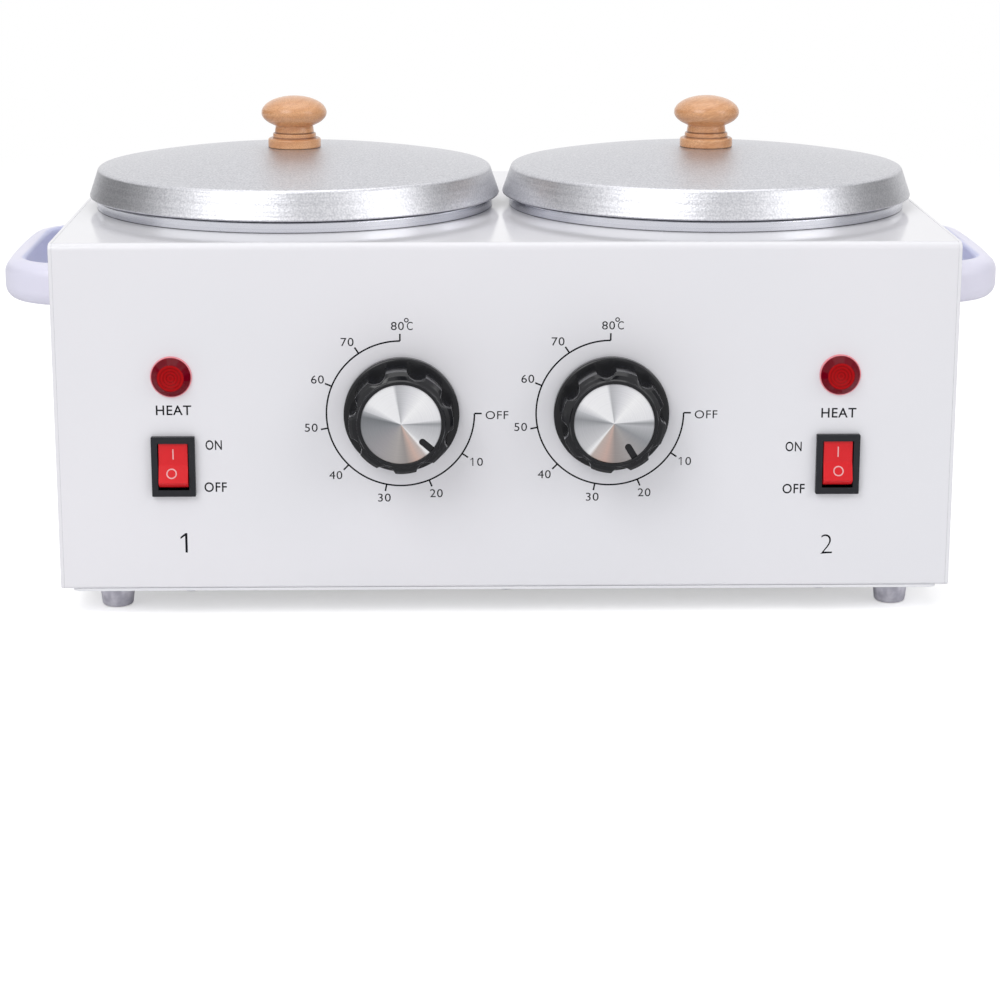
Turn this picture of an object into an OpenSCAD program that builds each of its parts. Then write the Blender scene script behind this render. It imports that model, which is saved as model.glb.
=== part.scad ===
// Double wax warmer: a sheet steel casing with two fixed aluminium wells,
// two lift-off lids, two thermostat dials, two rocker switches and two pilot lamps.
// Millimetres. The front faces -Y and +Z is up. The origin lies on the table,
// under the middle of the whole object.

/* [Casing] */
// Width of the casing across its side panels
body_w = 310; // [306:1:400]
// Depth of the casing from front face to rear face
body_d = 190; // [186:1:260]
// Height of the casing from the base plate's underside to the top plate
body_h = 122; // [108:1:180]
// Thickness of the folded steel sheet
sheet_t = 1.2; // [0.8:0.1:2]
// Outer radius of the folds along the top edges
bend_r = 2.5; // [2:0.1:6]
// Width of the edges that are turned in
flange_w = 7; // [6:0.5:8]
// Thickness of the base plate
base_t = 1; // [0.8:0.1:2]
// How far the base plate stops short of each end of the casing
base_inset = 4; // [2:0.5:8]
// Corner radius of the base plate
base_corner_r = 3; // [1:0.5:6]
// Length of a vent slot in the base plate
vent_l = 44; // [20:1:60]
// Width of a vent slot
vent_w = 4; // [3:0.5:6]
// Number of vent slots under each well
vent_count = 5; // [3:1:7]
// Spacing of the vent slots
vent_pitch = 9; // [8:0.5:12]

/* [Feet] */
// Height of a foot
foot_h = 9.5; // [6:0.5:20]
// Diameter of a foot where it meets the base plate
foot_top_d = 13; // [12:0.5:24]
// Diameter of a foot where it meets the table
foot_base_d = 10.8; // [10:0.1:22]
// Distance of a foot's axis from the casing's sides
foot_inset = 17.5; // [14:0.5:30]

/* [Handles] */
// Reach of a handle out from the side panel
handle_reach = 25.5; // [22:0.5:40]
// Overall length of a handle, front to rear
handle_span = 106; // [80:1:150]
// Thickness of the handle's bar, seen from above
handle_t = 7.8; // [6:0.1:12]
// Height of the handle's bar
handle_h = 14.6; // [10:0.1:20]
// Height of the bar's middle above the base plate's underside
handle_z = 100.2; // [60:0.1:110]
// Radius of the bar's middle line at the two bends
handle_bend_r = 18; // [12:0.5:24]
// Radius of the gentle bow of the grip
handle_bow_r = 261; // [200:1:600]
// Rounding of the bar's edges
handle_edge_r = 3.2; // [1:0.1:3.6]
// Depth of the screw holes in the handle's ends
handle_hole_l = 12; // [8:0.5:16]

/* [Wells] */
// Inner diameter of a well
pot_bore_d = 134; // [100:1:136]
// Depth of a well, rim to floor
pot_depth = 74; // [50:1:76]
// Wall thickness of a well
pot_wall = 1.2; // [0.8:0.1:2]
// Floor thickness of a well
pot_floor = 1.5; // [1:0.1:3]
// Inner corner radius between a well's wall and floor
pot_corner_r = 8; // [4:0.5:16]
// Width of the flat rim from the bore to the collar's outside
rim_w = 6; // [5:0.1:8]
// Height of the folded collar above the top plate
collar_h = 4.3; // [3:0.1:8]
// Rounding of the collar's upper edge
collar_edge_r = 1.4; // [1.3:0.1:2]
// Radial gap between a well and the hole in the top plate
pot_hole_gap = 1.3; // [0.5:0.1:2]
// Diameter of the threaded stud under a well
stud_d = 6; // [5:0.5:8]

/* [Lids] */
// Gap between the two lids
lid_gap = 1.3; // [0.6:0.1:6]
// How far a lid's rim stands out past the collar
lid_overhang = 2.55; // [1:0.05:5]
// How far the skirt leans in between its lower and upper edge
lid_taper = 2.95; // [1:0.05:5]
// Height of the skirt
lid_h = 10.5; // [7:0.1:16]
// Rise of the domed top from the skirt's upper edge to the crown
lid_rise = 6.5; // [4:0.1:12]
// Thickness of the spun aluminium
lid_t = 1; // [0.8:0.1:1.4]
// Rounding of the lid's edges
lid_edge_r = 1.8; // [1.6:0.1:2.4]
// Radial play of the lid's locating ring in the well
lid_play = 0.8; // [0.5:0.1:1.5]
// Depth of the locating ring
lid_ring_h = 5; // [3:0.5:9]

/* [Lid knobs] */
// Largest diameter of the wooden knob
grip_d = 24; // [20:0.5:34]
// Diameter of the knob's neck
grip_neck_d = 13.5; // [12:0.5:16]
// Diameter of the knob's foot
grip_foot_d = 19.4; // [18:0.2:24]
// Height of the knob's foot
grip_foot_h = 3.6; // [3:0.1:6]
// Diameter of the step above the foot
grip_step_d = 15.8; // [15:0.1:18]
// Height of the step above the foot
grip_step_h = 1.8; // [1.5:0.1:3]
// Height of the head's widest line above the lid
grip_head_z = 12.7; // [12:0.1:18]
// Height of the head's top above its widest line
grip_dome_h = 6.1; // [4:0.1:10]
// Length of the screw inside the knob
grip_screw_l = 12; // [8:0.5:14]

/* [Dials] */
// Distance of each dial's axis from the middle
dial_x = 36; // [32:0.5:37]
// Height of the dials' axes above the base plate's underside
dial_z = 63.2; // [50:0.1:80]
// Diameter of the dial's skirt
dial_skirt_d = 39.7; // [38:0.1:50]
// Height of the dial's skirt
dial_skirt_h = 3; // [2.5:0.1:5]
// Gap between the skirt and the panel
dial_gap = 0.8; // [0.5:0.1:2]
// Diameter across the grip's lobes
dial_grip_d = 35.6; // [34:0.1:40]
// Height of the lobes' straight side above the skirt
dial_grip_h = 6.4; // [4:0.1:10]
// Width of the chamfer above the lobes
dial_chamfer = 1.5; // [0.5:0.1:2.5]
// Height of the dial above the panel
dial_h = 18.3; // [14:0.1:26]
// Diameter of the dial's upper rim
dial_rim_d = 30.2; // [29:0.1:34]
// Number of lobes
dial_lobes = 8; // [6:1:12]
// Radius of a flute between two lobes
flute_r = 3.6; // [2:0.1:5]
// Depth of a flute
flute_depth = 2.1; // [1:0.1:2.2]
// Diameter of the brushed cap
cap_d = 27.4; // [24:0.1:28]
// Thickness of the cap
cap_t = 0.6; // [0.4:0.1:1]
// How far the cap lies below the rim
cap_drop = 0.5; // [0.2:0.1:1]
// Width of the pointer slot
pointer_w = 2.1; // [1.5:0.1:3]
// Distance of the pointer slot's inner end from the axis
pointer_r = 6.6; // [4:0.1:9]
// Reading of the left dial as an angle clockwise from OFF
dial_left_at = 40; // [0:1:270]
// Reading of the right dial as an angle clockwise from OFF
dial_right_at = 59; // [0:1:270]
// Diameter of the thermostat's spindle
spindle_d = 6; // [5:0.5:8]
// Radial running clearance of the spindle
spindle_play = 0.05; // [0.02:0.01:0.1]

/* [Thermostats] */
// Width and height of the thermostat's body
stat_w = 28; // [26:0.5:34]
// Depth of the thermostat's body
stat_d = 16; // [12:0.5:18]
// Outer diameter of the thermostat's bushing
bushing_d = 10; // [9:0.5:12]
// Distance between the thermostat's two screws
stat_screw_pitch = 28; // [28:0.5:28.5]
// Diameter of the sensing bulb
bulb_d = 6; // [4:0.5:8]
// Length of the sensing bulb
bulb_l = 40; // [30:1:60]
// Diameter of the thin tube from bulb to thermostat
capillary_d = 2; // [1.5:0.1:2.4]

/* [Switches and lamps] */
// Distance of the switches and lamps from the middle
switch_x = 114.6; // [108:0.1:120]
// Height of the switches' middles above the base plate's underside
switch_z = 44.9; // [35:0.1:60]
// Width of a switch's bezel
bezel_w = 15; // [14.5:0.1:18]
// Height of a switch's bezel
bezel_h = 21; // [20.5:0.1:24]
// Thickness of the bezel in front of the panel
bezel_t = 2; // [1.5:0.1:3]
// Width of the switch's body behind the panel
switch_body_w = 13; // [12.6:0.1:14]
// Height of the switch's body behind the panel
switch_body_h = 19.4; // [19.3:0.1:20]
// Depth of the switch's body behind the panel
switch_body_d = 13; // [11:0.5:18]
// Width of the rocker
rocker_w = 10.3; // [8:0.1:10.6]
// Radius of the rocker's two ends about its pivot
rocker_r = 9; // [8.6:0.05:9.1]
// Depth of the rocker's pivot behind the bezel's face
pivot_depth = 4.2; // [3.6:0.1:5]
// Height of the rocker's crease above its pivot
crease_h = 3.8; // [3:0.1:4.2]
// Slope of each half of the rocker's face
crease_slope = 10; // [5:1:14]
// Tilt of the rocker each way from level
rocker_tilt = 11; // [6:1:12]
// Gap around the rocker
rocker_gap = 0.2; // [0.12:0.02:0.3]
// Diameter of the rocker's two stub pins
trunnion_d = 3; // [2:0.1:4]
// Length of a stub pin beyond the rocker's side
trunnion_l = 0.9; // [0.6:0.05:1]
// Radial running clearance of the stub pins
trunnion_play = 0.05; // [0.02:0.01:0.1]
// Height of the lamps' axes above the base plate's underside
lamp_z = 76.2; // [70:0.1:95]
// Diameter of the lens at the panel
lens_d = 14.2; // [13:0.1:20]
// Diameter of the lens's front
lens_face_d = 9.8; // [7:0.1:12]
// Height of the lens in front of the panel
lens_h = 3.2; // [2:0.1:6]
// Diameter of the lamp's barrel
barrel_d = 11.6; // [10:0.1:12.6]
// Depth of the lamp's barrel behind the panel
barrel_l = 17; // [12:0.5:20]

/* [Heating] */
// Diameter of the heater plate
heater_d = 116; // [80:1:118]
// Thickness of the heater plate
heater_t = 10; // [9:0.5:14]
// Thickness of the strap under each well
strap_t = 2; // [1.5:0.1:3]
// Width of the strap under each well
strap_w = 30; // [24:1:40]
// Distance between the strap's two legs, outside to outside
strap_span = 124; // [110:1:130]
// Length of the strap's turned-out feet
strap_foot_l = 12; // [10:0.5:16]
// Thickness of the insulation around a well
wool_t = 4; // [2:0.5:5]
// Radial gap between a well and its insulation
wool_gap = 0.4; // [0.2:0.1:1]

/* [Power inlet] */
// Width of the inlet's flange
inlet_w = 50; // [48:0.5:54]
// Height of the inlet's flange
inlet_h = 24; // [23:0.5:28]
// Thickness of the inlet's flange
inlet_t = 2.6; // [2:0.1:4]
// Distance between the inlet's two screws
inlet_screw_pitch = 40; // [40:0.5:41]
// Height of the inlet above the base plate's underside
inlet_z = 32; // [20:0.5:50]
// Depth of the inlet's body behind the panel
inlet_d = 18; // [18:0.5:24]
// Depth of the inlet's socket
socket_d = 15.5; // [14:0.5:16]

/* [Wiring] */
// Diameter of an insulated wire
wire_d = 2.4; // [1.6:0.1:2.6]
// Radius of a wire's bends
wire_bend_r = 2.5; // [2:0.1:2.9]
// Distance of the terminal block's middle behind the middle of the casing
block_y = 38; // [30:1:44]
// Height of the terminal block
block_h = 13; // [11:0.5:18]

/* [Hidden] */
$fn = 64;

left = -1;
right = 1;
sides = [left, right];
// Small overlap for cuts that must pass right through
cut = 1;

// Screws: shank radius, head radius and head height of each size used
m3 = [1.5, 2.8, 1.8];
m4 = [2, 3.6, 2];
recess_w = 0.8;
screw_gap = 0.2;
m3_nut_r = 2.75;
m3_nut_h = 2.4;
m4_nut_r = 4;
m4_nut_h = 3.2;
stud_nut_r = 5;
stud_nut_h = 5;

// How far a shank stands past the last sheet it holds
wrap_screw_past = 4;
strap_screw_past = 2;
foot_screw_past = 1;
inlet_screw_past = 3.4;
stud_past = 2;

// Well and lid, as radii about the well's axis and heights above the base plate's underside
pot_r = pot_bore_d / 2;
pot_out_r = pot_r + pot_wall;
collar_r = pot_r + rim_w;
pot_hole_r = pot_out_r + pot_hole_gap;
rim_z = body_h + collar_h;
pot_floor_z = rim_z - pot_depth;
pot_under_z = pot_floor_z - pot_floor;
lid_rim_r = collar_r + lid_overhang;
lid_top_r = lid_rim_r - lid_taper;
pot_x = lid_rim_r + lid_gap / 2;
lid_edge_z = rim_z + lid_h;
crown_z = lid_edge_z + lid_rise;
ring_out_r = pot_r - lid_play;

// Centres of the roundings at a lid's lower and upper edge, and the dome that runs into the upper one
lid_low = [lid_rim_r - lid_edge_r, rim_z + lid_edge_r];
lid_high = [lid_top_r - lid_edge_r, lid_edge_z - lid_edge_r];
dome_drop = crown_z - lid_high[1];
dome_chord = pow(lid_high[0], 2) + pow(dome_drop, 2) - pow(lid_edge_r, 2);
dome_r = dome_chord / (2 * (dome_drop - lid_edge_r));

// Flat seat for the wooden knob, pressed into the crown of the dome
seat_r = grip_foot_d / 2 + 1;
seat_z = crown_z - dome_r + sqrt(pow(dome_r, 2) - pow(seat_r, 2));

// Heater and its strap
heater_z = pot_under_z - heater_t;
strap_z = heater_z - strap_t;
sensor_gap = 0.1;
heater_r = min(heater_d / 2, pot_r - pot_corner_r);
bulb_x = 20;
bulb_z = heater_z + heater_t / 2;
strap_leg_y = strap_span / 2;
strap_screw_y = strap_leg_y + strap_foot_l / 2;
heater_tab_x = 10;
heater_tab_y = 65;
heater_boss_r = 3;
wool_lift = 1.5;
wool_top_gap = 0.4;

// Thermal cut-out under the heater
cutout_dx = 25;
cutout_r = 7.5;
cutout_h = 8;
cutout_tab_l = 14;
cutout_tab_w = 4;

// Front panel and dial, measured out from the panel's face
face_y = -body_d / 2;
panel_back = -sheet_t;
dial_skirt_top = dial_gap + dial_skirt_h;
dial_grip_top = dial_skirt_top + dial_grip_h;
dial_cone_z = dial_grip_top + dial_chamfer;
cap_z = dial_h - cap_drop - cap_t;
stat_plate_t = 1.2;
stat_front = panel_back - stat_plate_t;
stat_back = stat_front - stat_d;
stat_screw_l = 5;
stat_screw_short = 0.5;
stat_tab_x = 10;
stat_tab_z = 8;
stat_tab_l = 7;
stat_corner_r = 3;
stat_tab_w = 4;
stat_tab_root = 2;
stat_plate_past = 12;
stat_nose_l = 2;
stat_cavity_r = spindle_d / 2 + 2.5;
stat_cavity_d = 4;
stat_cavity_z = stat_front - 4;
tube_room = 1.5;
tube_dx = 4;
tube_drop = 6;
spindle_bore_l = 20;
spindle_bore_past = 6;
spindle_disc_t = 1.6;
spindle_disc_play = 0.4;
spindle_drop = 3;

// Dial's edges and hollow
dial_edge = 0.6;
dial_wall = 2.2;
dial_web = 2.5;
dial_boss_z = 4;
screw_head_room = 0.6;
cap_play = 0.05;

// Lid knob: small edges and the share of the waist's height that each curve takes
grip_edge = 0.3;
grip_foot_edge = 0.7;
grip_step_edge = 0.5;
grip_cove = 0.36;
grip_swell = 0.62;
washer_r = 5.5;
washer_t = 0.8;

// Switch and lamp
bezel_corner_r = 0.8;
pocket_below = 5.5;
clip_l = 5;
clip_w = 8;
clip_sink = 0.3;
rocker_side_z = 0.8;
rocker_keel = [1.6, 2];
actuator = [3, 2, 4.2];
trunnion_end_gap = 0.1;
switch_back = panel_back - switch_body_d;
contact_l = 7;
contact_z = 5;
contact_w = 4.8;
tab_t = 0.8;
lens_flange_h = 0.8;
lens_lip = 0.3;
lens_shank_l = 4;
lens_ring_w = 1.1;
lens_ring_h = 0.15;
lens_skin = 1.4;
lens_wall = 1;
barrel_wall = 1.2;
snap_ring = [1.2, 1.5];
barrel_floor = 3;
lamp_back = panel_back - barrel_l;

// Inlet and terminal block
inlet_back = sheet_t + inlet_d;
inlet_head_h = 1.8;
inlet_corner_r = 3;
inlet_body = [27, 19.6];
inlet_cut_corner = 5;
inlet_wall = 1.3;
pin = [2, 4];
pin_pitch = 14;
pin_short = 0.5;
earth_rise = 4;
tab_l = 8;
block_w = 52;
block_d = 16;
block_pole = 12;
block_well_y = 4;
block_well_r = 2.4;
block_well_d = 4;
block_groove = [1.5, 5];
block_wire_z = 9;
low_wire_z = 5;

// Room that the wires keep around what they pass
inlet_tab_room = 6;
pair_gap = 1.6;
contact_room = 3.8;
feed_room = 4;
link_side = 6.6;
link_room = 5.6;
drop_y = 56;
under_heater = 8;
live_room = 3;
neutral_room = 7;
blue_left_room = 11;
blue_right_room = 6;
strap_room = 5;
lug_r = 4;
lug_t = 1;
lug_bend_y = 3;

// Feet and fasteners in the base
foot_x = body_w / 2 - foot_inset;
foot_y = body_d / 2 - foot_inset;
foot_hole_r = m4[0] + screw_gap;
base_gap = 0.3;
vent_row_y = vent_l * 0.6;
foot_recess = foot_h * 0.45;
base_screw_x = body_w / 2 - 45;
base_screw_y = body_d / 2 - sheet_t - flange_w / 2;
handle_screw_y = handle_span / 2 - handle_t / 2;
handle_screw_l = handle_hole_l + sheet_t - 1;
wire_r = wire_d / 2;
lug_y = 54;

// The whole object is centred between its foremost and rearmost points
box_y = (dial_h - inlet_t - inlet_head_h) / 2;

// Colours
enamel = "#eceaf0";
lavender = "#dcd8ee";
aluminium = "#b9babd";
steel = "#a8abae";
beech = "#d9a873";
black = "#1c1c20";
red = "#c81e2c";
clear_grey = "#8e9094";
felt = "#d9d3c4";
brass = "#c9a24a";
ivory = "#efe9d8";
brown_wire = "#6b3a20";
blue_wire = "#2f5fa8";
green_wire = "#7fae3a";

// Places its children in the casing's own frame: z is 0 on the base plate's underside
module in_casing() {
  translate([0, box_y, foot_h]) children();
}

// Places its children on the front panel, with their z pointing out of it
module on_front(x, z) {
  in_casing() translate([x, face_y, z]) rotate([90, 0, 0]) children();
}

// Places its children on the rear panel, with their z pointing out of it
module on_rear(x, z) {
  in_casing() translate([x, -face_y, z]) rotate([90, 0, 180]) children();
}

// Places its children on a side panel, with their z pointing out of it and their x to the rear
module on_side(side, y, z) {
  in_casing() translate([side * body_w / 2, y, z])
    rotate([90, 0, 90]) mirror([0, 0, side < 0 ? 1 : 0]) children();
}

// Places its children on a well's axis
module on_pot(side) {
  in_casing() translate([side * pot_x, 0, 0]) children();
}

// Pan-head screw with a cross recess: its head stands on z = 0 and its shank goes down
module pan_screw(size, shank_l) {
  difference() {
    union() {
      translate([0, 0, -shank_l]) cylinder(r = size[0], h = shank_l);
      cylinder(r = size[1], h = size[2]);
    }
    for (a = [0, 90])
      rotate([0, 0, a]) translate([-size[1] / 2, -recess_w / 2, size[2] / 2])
        cube([size[1], recess_w, size[2]]);
  }
}

// Hexagonal nut on z = 0
module hex_nut(hole_r, r, h) {
  difference() {
    cylinder(r = r / cos(30), h = h, $fn = 6);
    translate([0, 0, -cut]) cylinder(r = hole_r, h = h + 2 * cut);
  }
}

// Rectangle centred on the origin with rounded corners
module rounded_rect(w, h, r) {
  square([w - 2 * r, h], center = true);
  square([w, h - 2 * r], center = true);
  for (x = [-1, 1])
    for (y = [-1, 1])
      translate([x * (w / 2 - r), y * (h / 2 - r)]) circle(r);
}

// Outline of the casing, seen from the side, with rounded upper corners
module casing_outline(inset, bottom) {
  w = body_d - 2 * inset;
  top = body_h - inset;
  r = max(bend_r - inset, 0.2);
  translate([-w / 2, bottom]) square([w, top - bottom - r]);
  translate([-w / 2 + r, bottom]) square([w - 2 * r, top - bottom]);
  for (s = [-1, 1])
    translate([s * (w / 2 - r), top - r]) circle(r);
}

// One insulated wire or tube along square turns, each rounded to a quarter of a ring
module run(points, r, bend) {
  last = len(points) - 1;
  for (i = [0 : last - 1]) {
    a = points[i];
    b = points[i + 1];
    d = (b - a) / norm(b - a);
    start = i == 0 ? a : a + d * bend;
    end = i == last - 1 ? b : b - d * bend;
    translate(start) rotate([0, acos(d[2]), atan2(d[1], d[0])])
      cylinder(r = r, h = norm(end - start), $fn = 24);
    if (i < last - 1)
      elbow(b, d, (points[i + 2] - b) / norm(points[i + 2] - b), r, bend);
  }
}

// Quarter ring that turns a run at a corner from direction a to direction b
module elbow(corner, a, b, r, bend) {
  c = corner - a * bend + b * bend;
  n = cross(a, b);
  multmatrix([
    [-b[0], a[0], n[0], c[0]],
    [-b[1], a[1], n[1], c[1]],
    [-b[2], a[2], n[2], c[2]],
    [0, 0, 0, 1]
  ])
    rotate_extrude(angle = 90, $fn = 48) translate([bend, 0]) circle(r, $fn = 24);
}

// Front, top and back in one folded sheet, with its lower edges turned in
module cover_wrap() {
  length = body_w - 2 * sheet_t;
  color(enamel)
    difference() {
      in_casing() translate([-length / 2, 0, 0]) rotate([90, 0, 90]) linear_extrude(length)
        difference() {
          casing_outline(0, base_t);
          casing_outline(sheet_t, base_t + sheet_t);
          translate([flange_w - body_d / 2, 0]) square([body_d - 2 * flange_w, base_t + 2 * sheet_t]);
        }
      for (s = sides) {
        on_pot(s) translate([0, 0, body_h - sheet_t - cut]) cylinder(r = pot_hole_r, h = sheet_t + 2 * cut);
        on_front(s * dial_x, dial_z) dial_holes();
        on_front(s * switch_x, switch_z) switch_hole();
        on_front(s * switch_x, lamp_z) translate([0, 0, panel_back - cut])
          cylinder(r = barrel_d / 2 + screw_gap, h = sheet_t + 2 * cut);
      }
      on_rear(0, inlet_z) inlet_hole();
      base_screw_holes();
    }
}

// Holes in the panel for one thermostat
module dial_holes() {
  translate([0, 0, panel_back - cut]) {
    cylinder(r = bushing_d / 2 + screw_gap, h = sheet_t + 2 * cut);
    for (s = sides)
      translate([s * stat_screw_pitch / 2, 0, 0]) cylinder(r = m4[0] + screw_gap, h = sheet_t + 2 * cut);
  }
}

// Cut-out in the panel for one switch
module switch_hole() {
  w = switch_body_w + screw_gap;
  h = switch_body_h + screw_gap;
  translate([-w / 2, -h / 2, panel_back - cut]) cube([w, h, sheet_t + 2 * cut]);
}

// Cut-out in the rear panel for the power inlet, with its two screw holes
module inlet_hole() {
  translate([0, 0, panel_back - cut]) {
    linear_extrude(sheet_t + 2 * cut) inlet_outline(screw_gap);
    for (s = sides)
      translate([s * inlet_screw_pitch / 2, 0, 0]) cylinder(r = m3[0] + screw_gap, h = sheet_t + 2 * cut);
  }
}

// Holes for the screws that join the base plate to the wrap's lower edges
module base_screw_holes() {
  for (x = [-base_screw_x, 0, base_screw_x])
    for (s = [-1, 1])
      in_casing() translate([x, s * base_screw_y, -cut])
        cylinder(r = m3[0] + screw_gap, h = base_t + sheet_t + 2 * cut);
}

// Flat end of the casing with its edges turned in behind the wrap
module side_panel(side) {
  color(enamel)
    difference() {
      on_side(side, 0, 0) {
        translate([0, 0, -sheet_t]) linear_extrude(sheet_t) casing_outline(0, base_t);
        translate([0, 0, -sheet_t - flange_w]) linear_extrude(flange_w)
          difference() {
            casing_outline(sheet_t, base_t + sheet_t);
            casing_outline(2 * sheet_t, base_t + 2 * sheet_t);
          }
      }
      for (s = [-1, 1])
        on_side(side, s * handle_screw_y, handle_z) translate([0, 0, -sheet_t - cut])
          cylinder(r = m4[0] + screw_gap, h = sheet_t + 2 * cut);
    }
}

// Flat base plate with vent slots under both wells
module base_plate() {
  w = body_w - 2 * base_inset;
  color(enamel)
    difference() {
      in_casing() linear_extrude(base_t)
        difference() {
          rounded_rect(w, body_d - 2 * base_gap, base_corner_r);
          for (s = sides)
            for (row = [-1, 1])
              for (i = [0 : vent_count - 1])
                translate([s * pot_x + (i - (vent_count - 1) / 2) * vent_pitch, row * vent_row_y])
                  vent_slot();
        }
      base_screw_holes();
      for (x = [-foot_x, foot_x])
        for (y = [-foot_y, foot_y])
          in_casing() translate([x, y, -cut]) cylinder(r = foot_hole_r, h = base_t + 2 * cut);
      strap_screw_holes();
      in_casing() translate([0, lug_y, -cut]) cylinder(r = m3[0] + screw_gap, h = base_t + 2 * cut);
    }
}

// One round-ended slot
module vent_slot() {
  square([vent_w, vent_l - vent_w], center = true);
  for (s = [-1, 1])
    translate([0, s * (vent_l - vent_w) / 2]) circle(vent_w / 2);
}

// Holes for the screws that hold the two straps to the base plate
module strap_screw_holes() {
  for (side = sides)
    for (s = [-1, 1])
      on_pot(side) translate([0, s * strap_screw_y, -cut])
        cylinder(r = m3[0] + screw_gap, h = base_t + strap_t + 2 * cut);
}

// Screws in the base plate: six into the wrap, four into the straps and one for the earth lug
module base_screws() {
  color(steel) {
    for (x = [-base_screw_x, 0, base_screw_x])
      for (s = [-1, 1])
        in_casing() translate([x, s * base_screw_y, 0]) mirror([0, 0, 1])
          pan_screw(m3, base_t + sheet_t + wrap_screw_past);
    for (side = sides)
      for (s = [-1, 1])
        on_pot(side) translate([0, s * strap_screw_y, 0]) mirror([0, 0, 1])
          pan_screw(m3, base_t + strap_t + strap_screw_past);
    in_casing() translate([0, lug_y, 0]) mirror([0, 0, 1]) pan_screw(m3, base_t + strap_screw_past);
  }
}

// Tapered foot with a deep hole for its screw
module foot(sx, sy) {
  color(clear_grey)
    in_casing() translate([sx * foot_x, sy * foot_y, -foot_h])
      difference() {
        cylinder(r1 = foot_base_d / 2, r2 = foot_top_d / 2, h = foot_h);
        translate([0, 0, -cut]) cylinder(r = foot_hole_r, h = foot_h + 2 * cut);
        translate([0, 0, -cut]) cylinder(r = m4[1] + screw_gap, h = foot_recess + cut);
      }
}

// Screws that pass up through the feet and the base plate into nuts
module foot_screws() {
  head_z = foot_recess - foot_h;
  color(steel)
    for (x = [-foot_x, foot_x])
      for (y = [-foot_y, foot_y])
        in_casing() translate([x, y, 0]) {
          translate([0, 0, head_z]) mirror([0, 0, 1])
            pan_screw(m4, base_t + m4_nut_h + foot_screw_past - head_z);
          translate([0, 0, base_t]) hex_nut(m4[0], m4_nut_r, m4_nut_h);
        }
}

// Corner points of the handle's bar in cross-section: outwards and up
function handle_section() = [
  for (q = [[1, 1, 0], [-1, 1, 90], [-1, -1, 180], [1, -1, 270]])
    for (a = [0 : 22.5 : 90])
      [
        q[0] * (handle_t / 2 - handle_edge_r) + handle_edge_r * cos(q[2] + a),
        q[1] * (handle_h / 2 - handle_edge_r) + handle_edge_r * sin(q[2] + a)
      ]
];

// Stations along the bar's middle line: x, y and the direction it faces
function handle_line(x0, half, bend, centre, turn) = concat(
  [[0, -half, -90]],
  [for (i = [8 : -1 : 1]) let (f = -turn - (90 - turn) * i / 8)
    [centre[0] + bend * cos(f), -centre[1] + bend * sin(f), f]],
  [for (i = [-4 : 4]) let (f = turn * i / 4) [x0 + handle_bow_r * cos(f), handle_bow_r * sin(f), f]],
  [for (i = [1 : 8]) let (f = turn + (90 - turn) * i / 8)
    [centre[0] + bend * cos(f), centre[1] + bend * sin(f), f]],
  [[0, half, 90]]
);

// Bar swept along its stations as one closed solid
module handle_bar(line) {
  section = handle_section();
  n = len(section);
  m = len(line);
  polyhedron(
    points = [for (p = line) for (q = section) [p[0] + q[0] * cos(p[2]), p[1] + q[0] * sin(p[2]), q[1]]],
    faces = concat(
      [[for (i = [0 : n - 1]) i]],
      [for (j = [0 : m - 2]) for (i = [0 : n - 1]) let (k = (i + 1) % n)
        each [[j * n + i, (j + 1) * n + i, (j + 1) * n + k], [j * n + i, (j + 1) * n + k, j * n + k]]],
      [[for (i = [n - 1 : -1 : 0]) (m - 1) * n + i]]
    ),
    convexity = 6
  );
}

// Moulded loop handle: a gently bowed grip, two bends and two short arms
module handle(side) {
  reach = handle_reach - handle_t / 2;
  half = handle_span / 2 - handle_t / 2;
  bend_y = half - handle_bend_r;
  turn = asin(bend_y / (handle_bow_r - handle_bend_r));
  bend_x = reach - handle_bow_r + (handle_bow_r - handle_bend_r) * cos(turn);
  color(lavender)
    in_casing() translate([side * body_w / 2, 0, handle_z]) mirror([side < 0 ? 1 : 0, 0, 0])
      difference() {
        handle_bar(handle_line(reach - handle_bow_r, half, handle_bend_r, [bend_x, bend_y], turn));
        for (s = [-1, 1])
          translate([-cut, s * half, 0]) rotate([0, 90, 0]) cylinder(r = m4[0], h = handle_hole_l + cut);
      }
}

// Screws from inside the side panels into the handles' ends
module handle_screws() {
  color(steel)
    for (side = sides)
      for (s = [-1, 1])
        on_side(side, s * handle_screw_y, handle_z)
          translate([0, 0, -sheet_t]) mirror([0, 0, 1]) pan_screw(m4, handle_screw_l);
}

// Half outline of an upright round vessel from its axis to radius r
module vessel_outline(r, bottom, top, corner) {
  translate([0, bottom]) square([r - corner, top - bottom]);
  translate([0, bottom + corner]) square([r, top - bottom - corner]);
  translate([r - corner, bottom + corner]) circle(corner);
}

// Well with its folded collar, which rests on the top plate, and a stud under its floor
module pot(side) {
  color(aluminium)
    on_pot(side) {
      rotate_extrude($fn = 180)
        intersection() {
          translate([0, pot_under_z]) square([collar_r + cut, body_h]);
          union() {
            difference() {
              vessel_outline(pot_out_r, pot_under_z, rim_z, pot_corner_r + pot_wall);
              vessel_outline(pot_r, pot_floor_z, rim_z + cut, pot_corner_r);
            }
            difference() {
              collar_outline();
              translate([pot_out_r, body_h - cut])
                square([collar_r - pot_wall - pot_out_r, collar_h - pot_wall + cut]);
            }
          }
        }
      translate([0, 0, strap_z - stud_nut_h - stud_past])
        cylinder(r = stud_d / 2, h = pot_under_z - strap_z + stud_nut_h + stud_past);
    }
}

// Outline of the collar from the well's bore outwards
module collar_outline() {
  r = collar_edge_r;
  w = collar_r - pot_r;
  translate([pot_r, body_h]) square([w, collar_h - r]);
  translate([pot_r, body_h]) square([w - r, collar_h]);
  translate([collar_r - r, rim_z - r]) circle(r);
}

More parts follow.
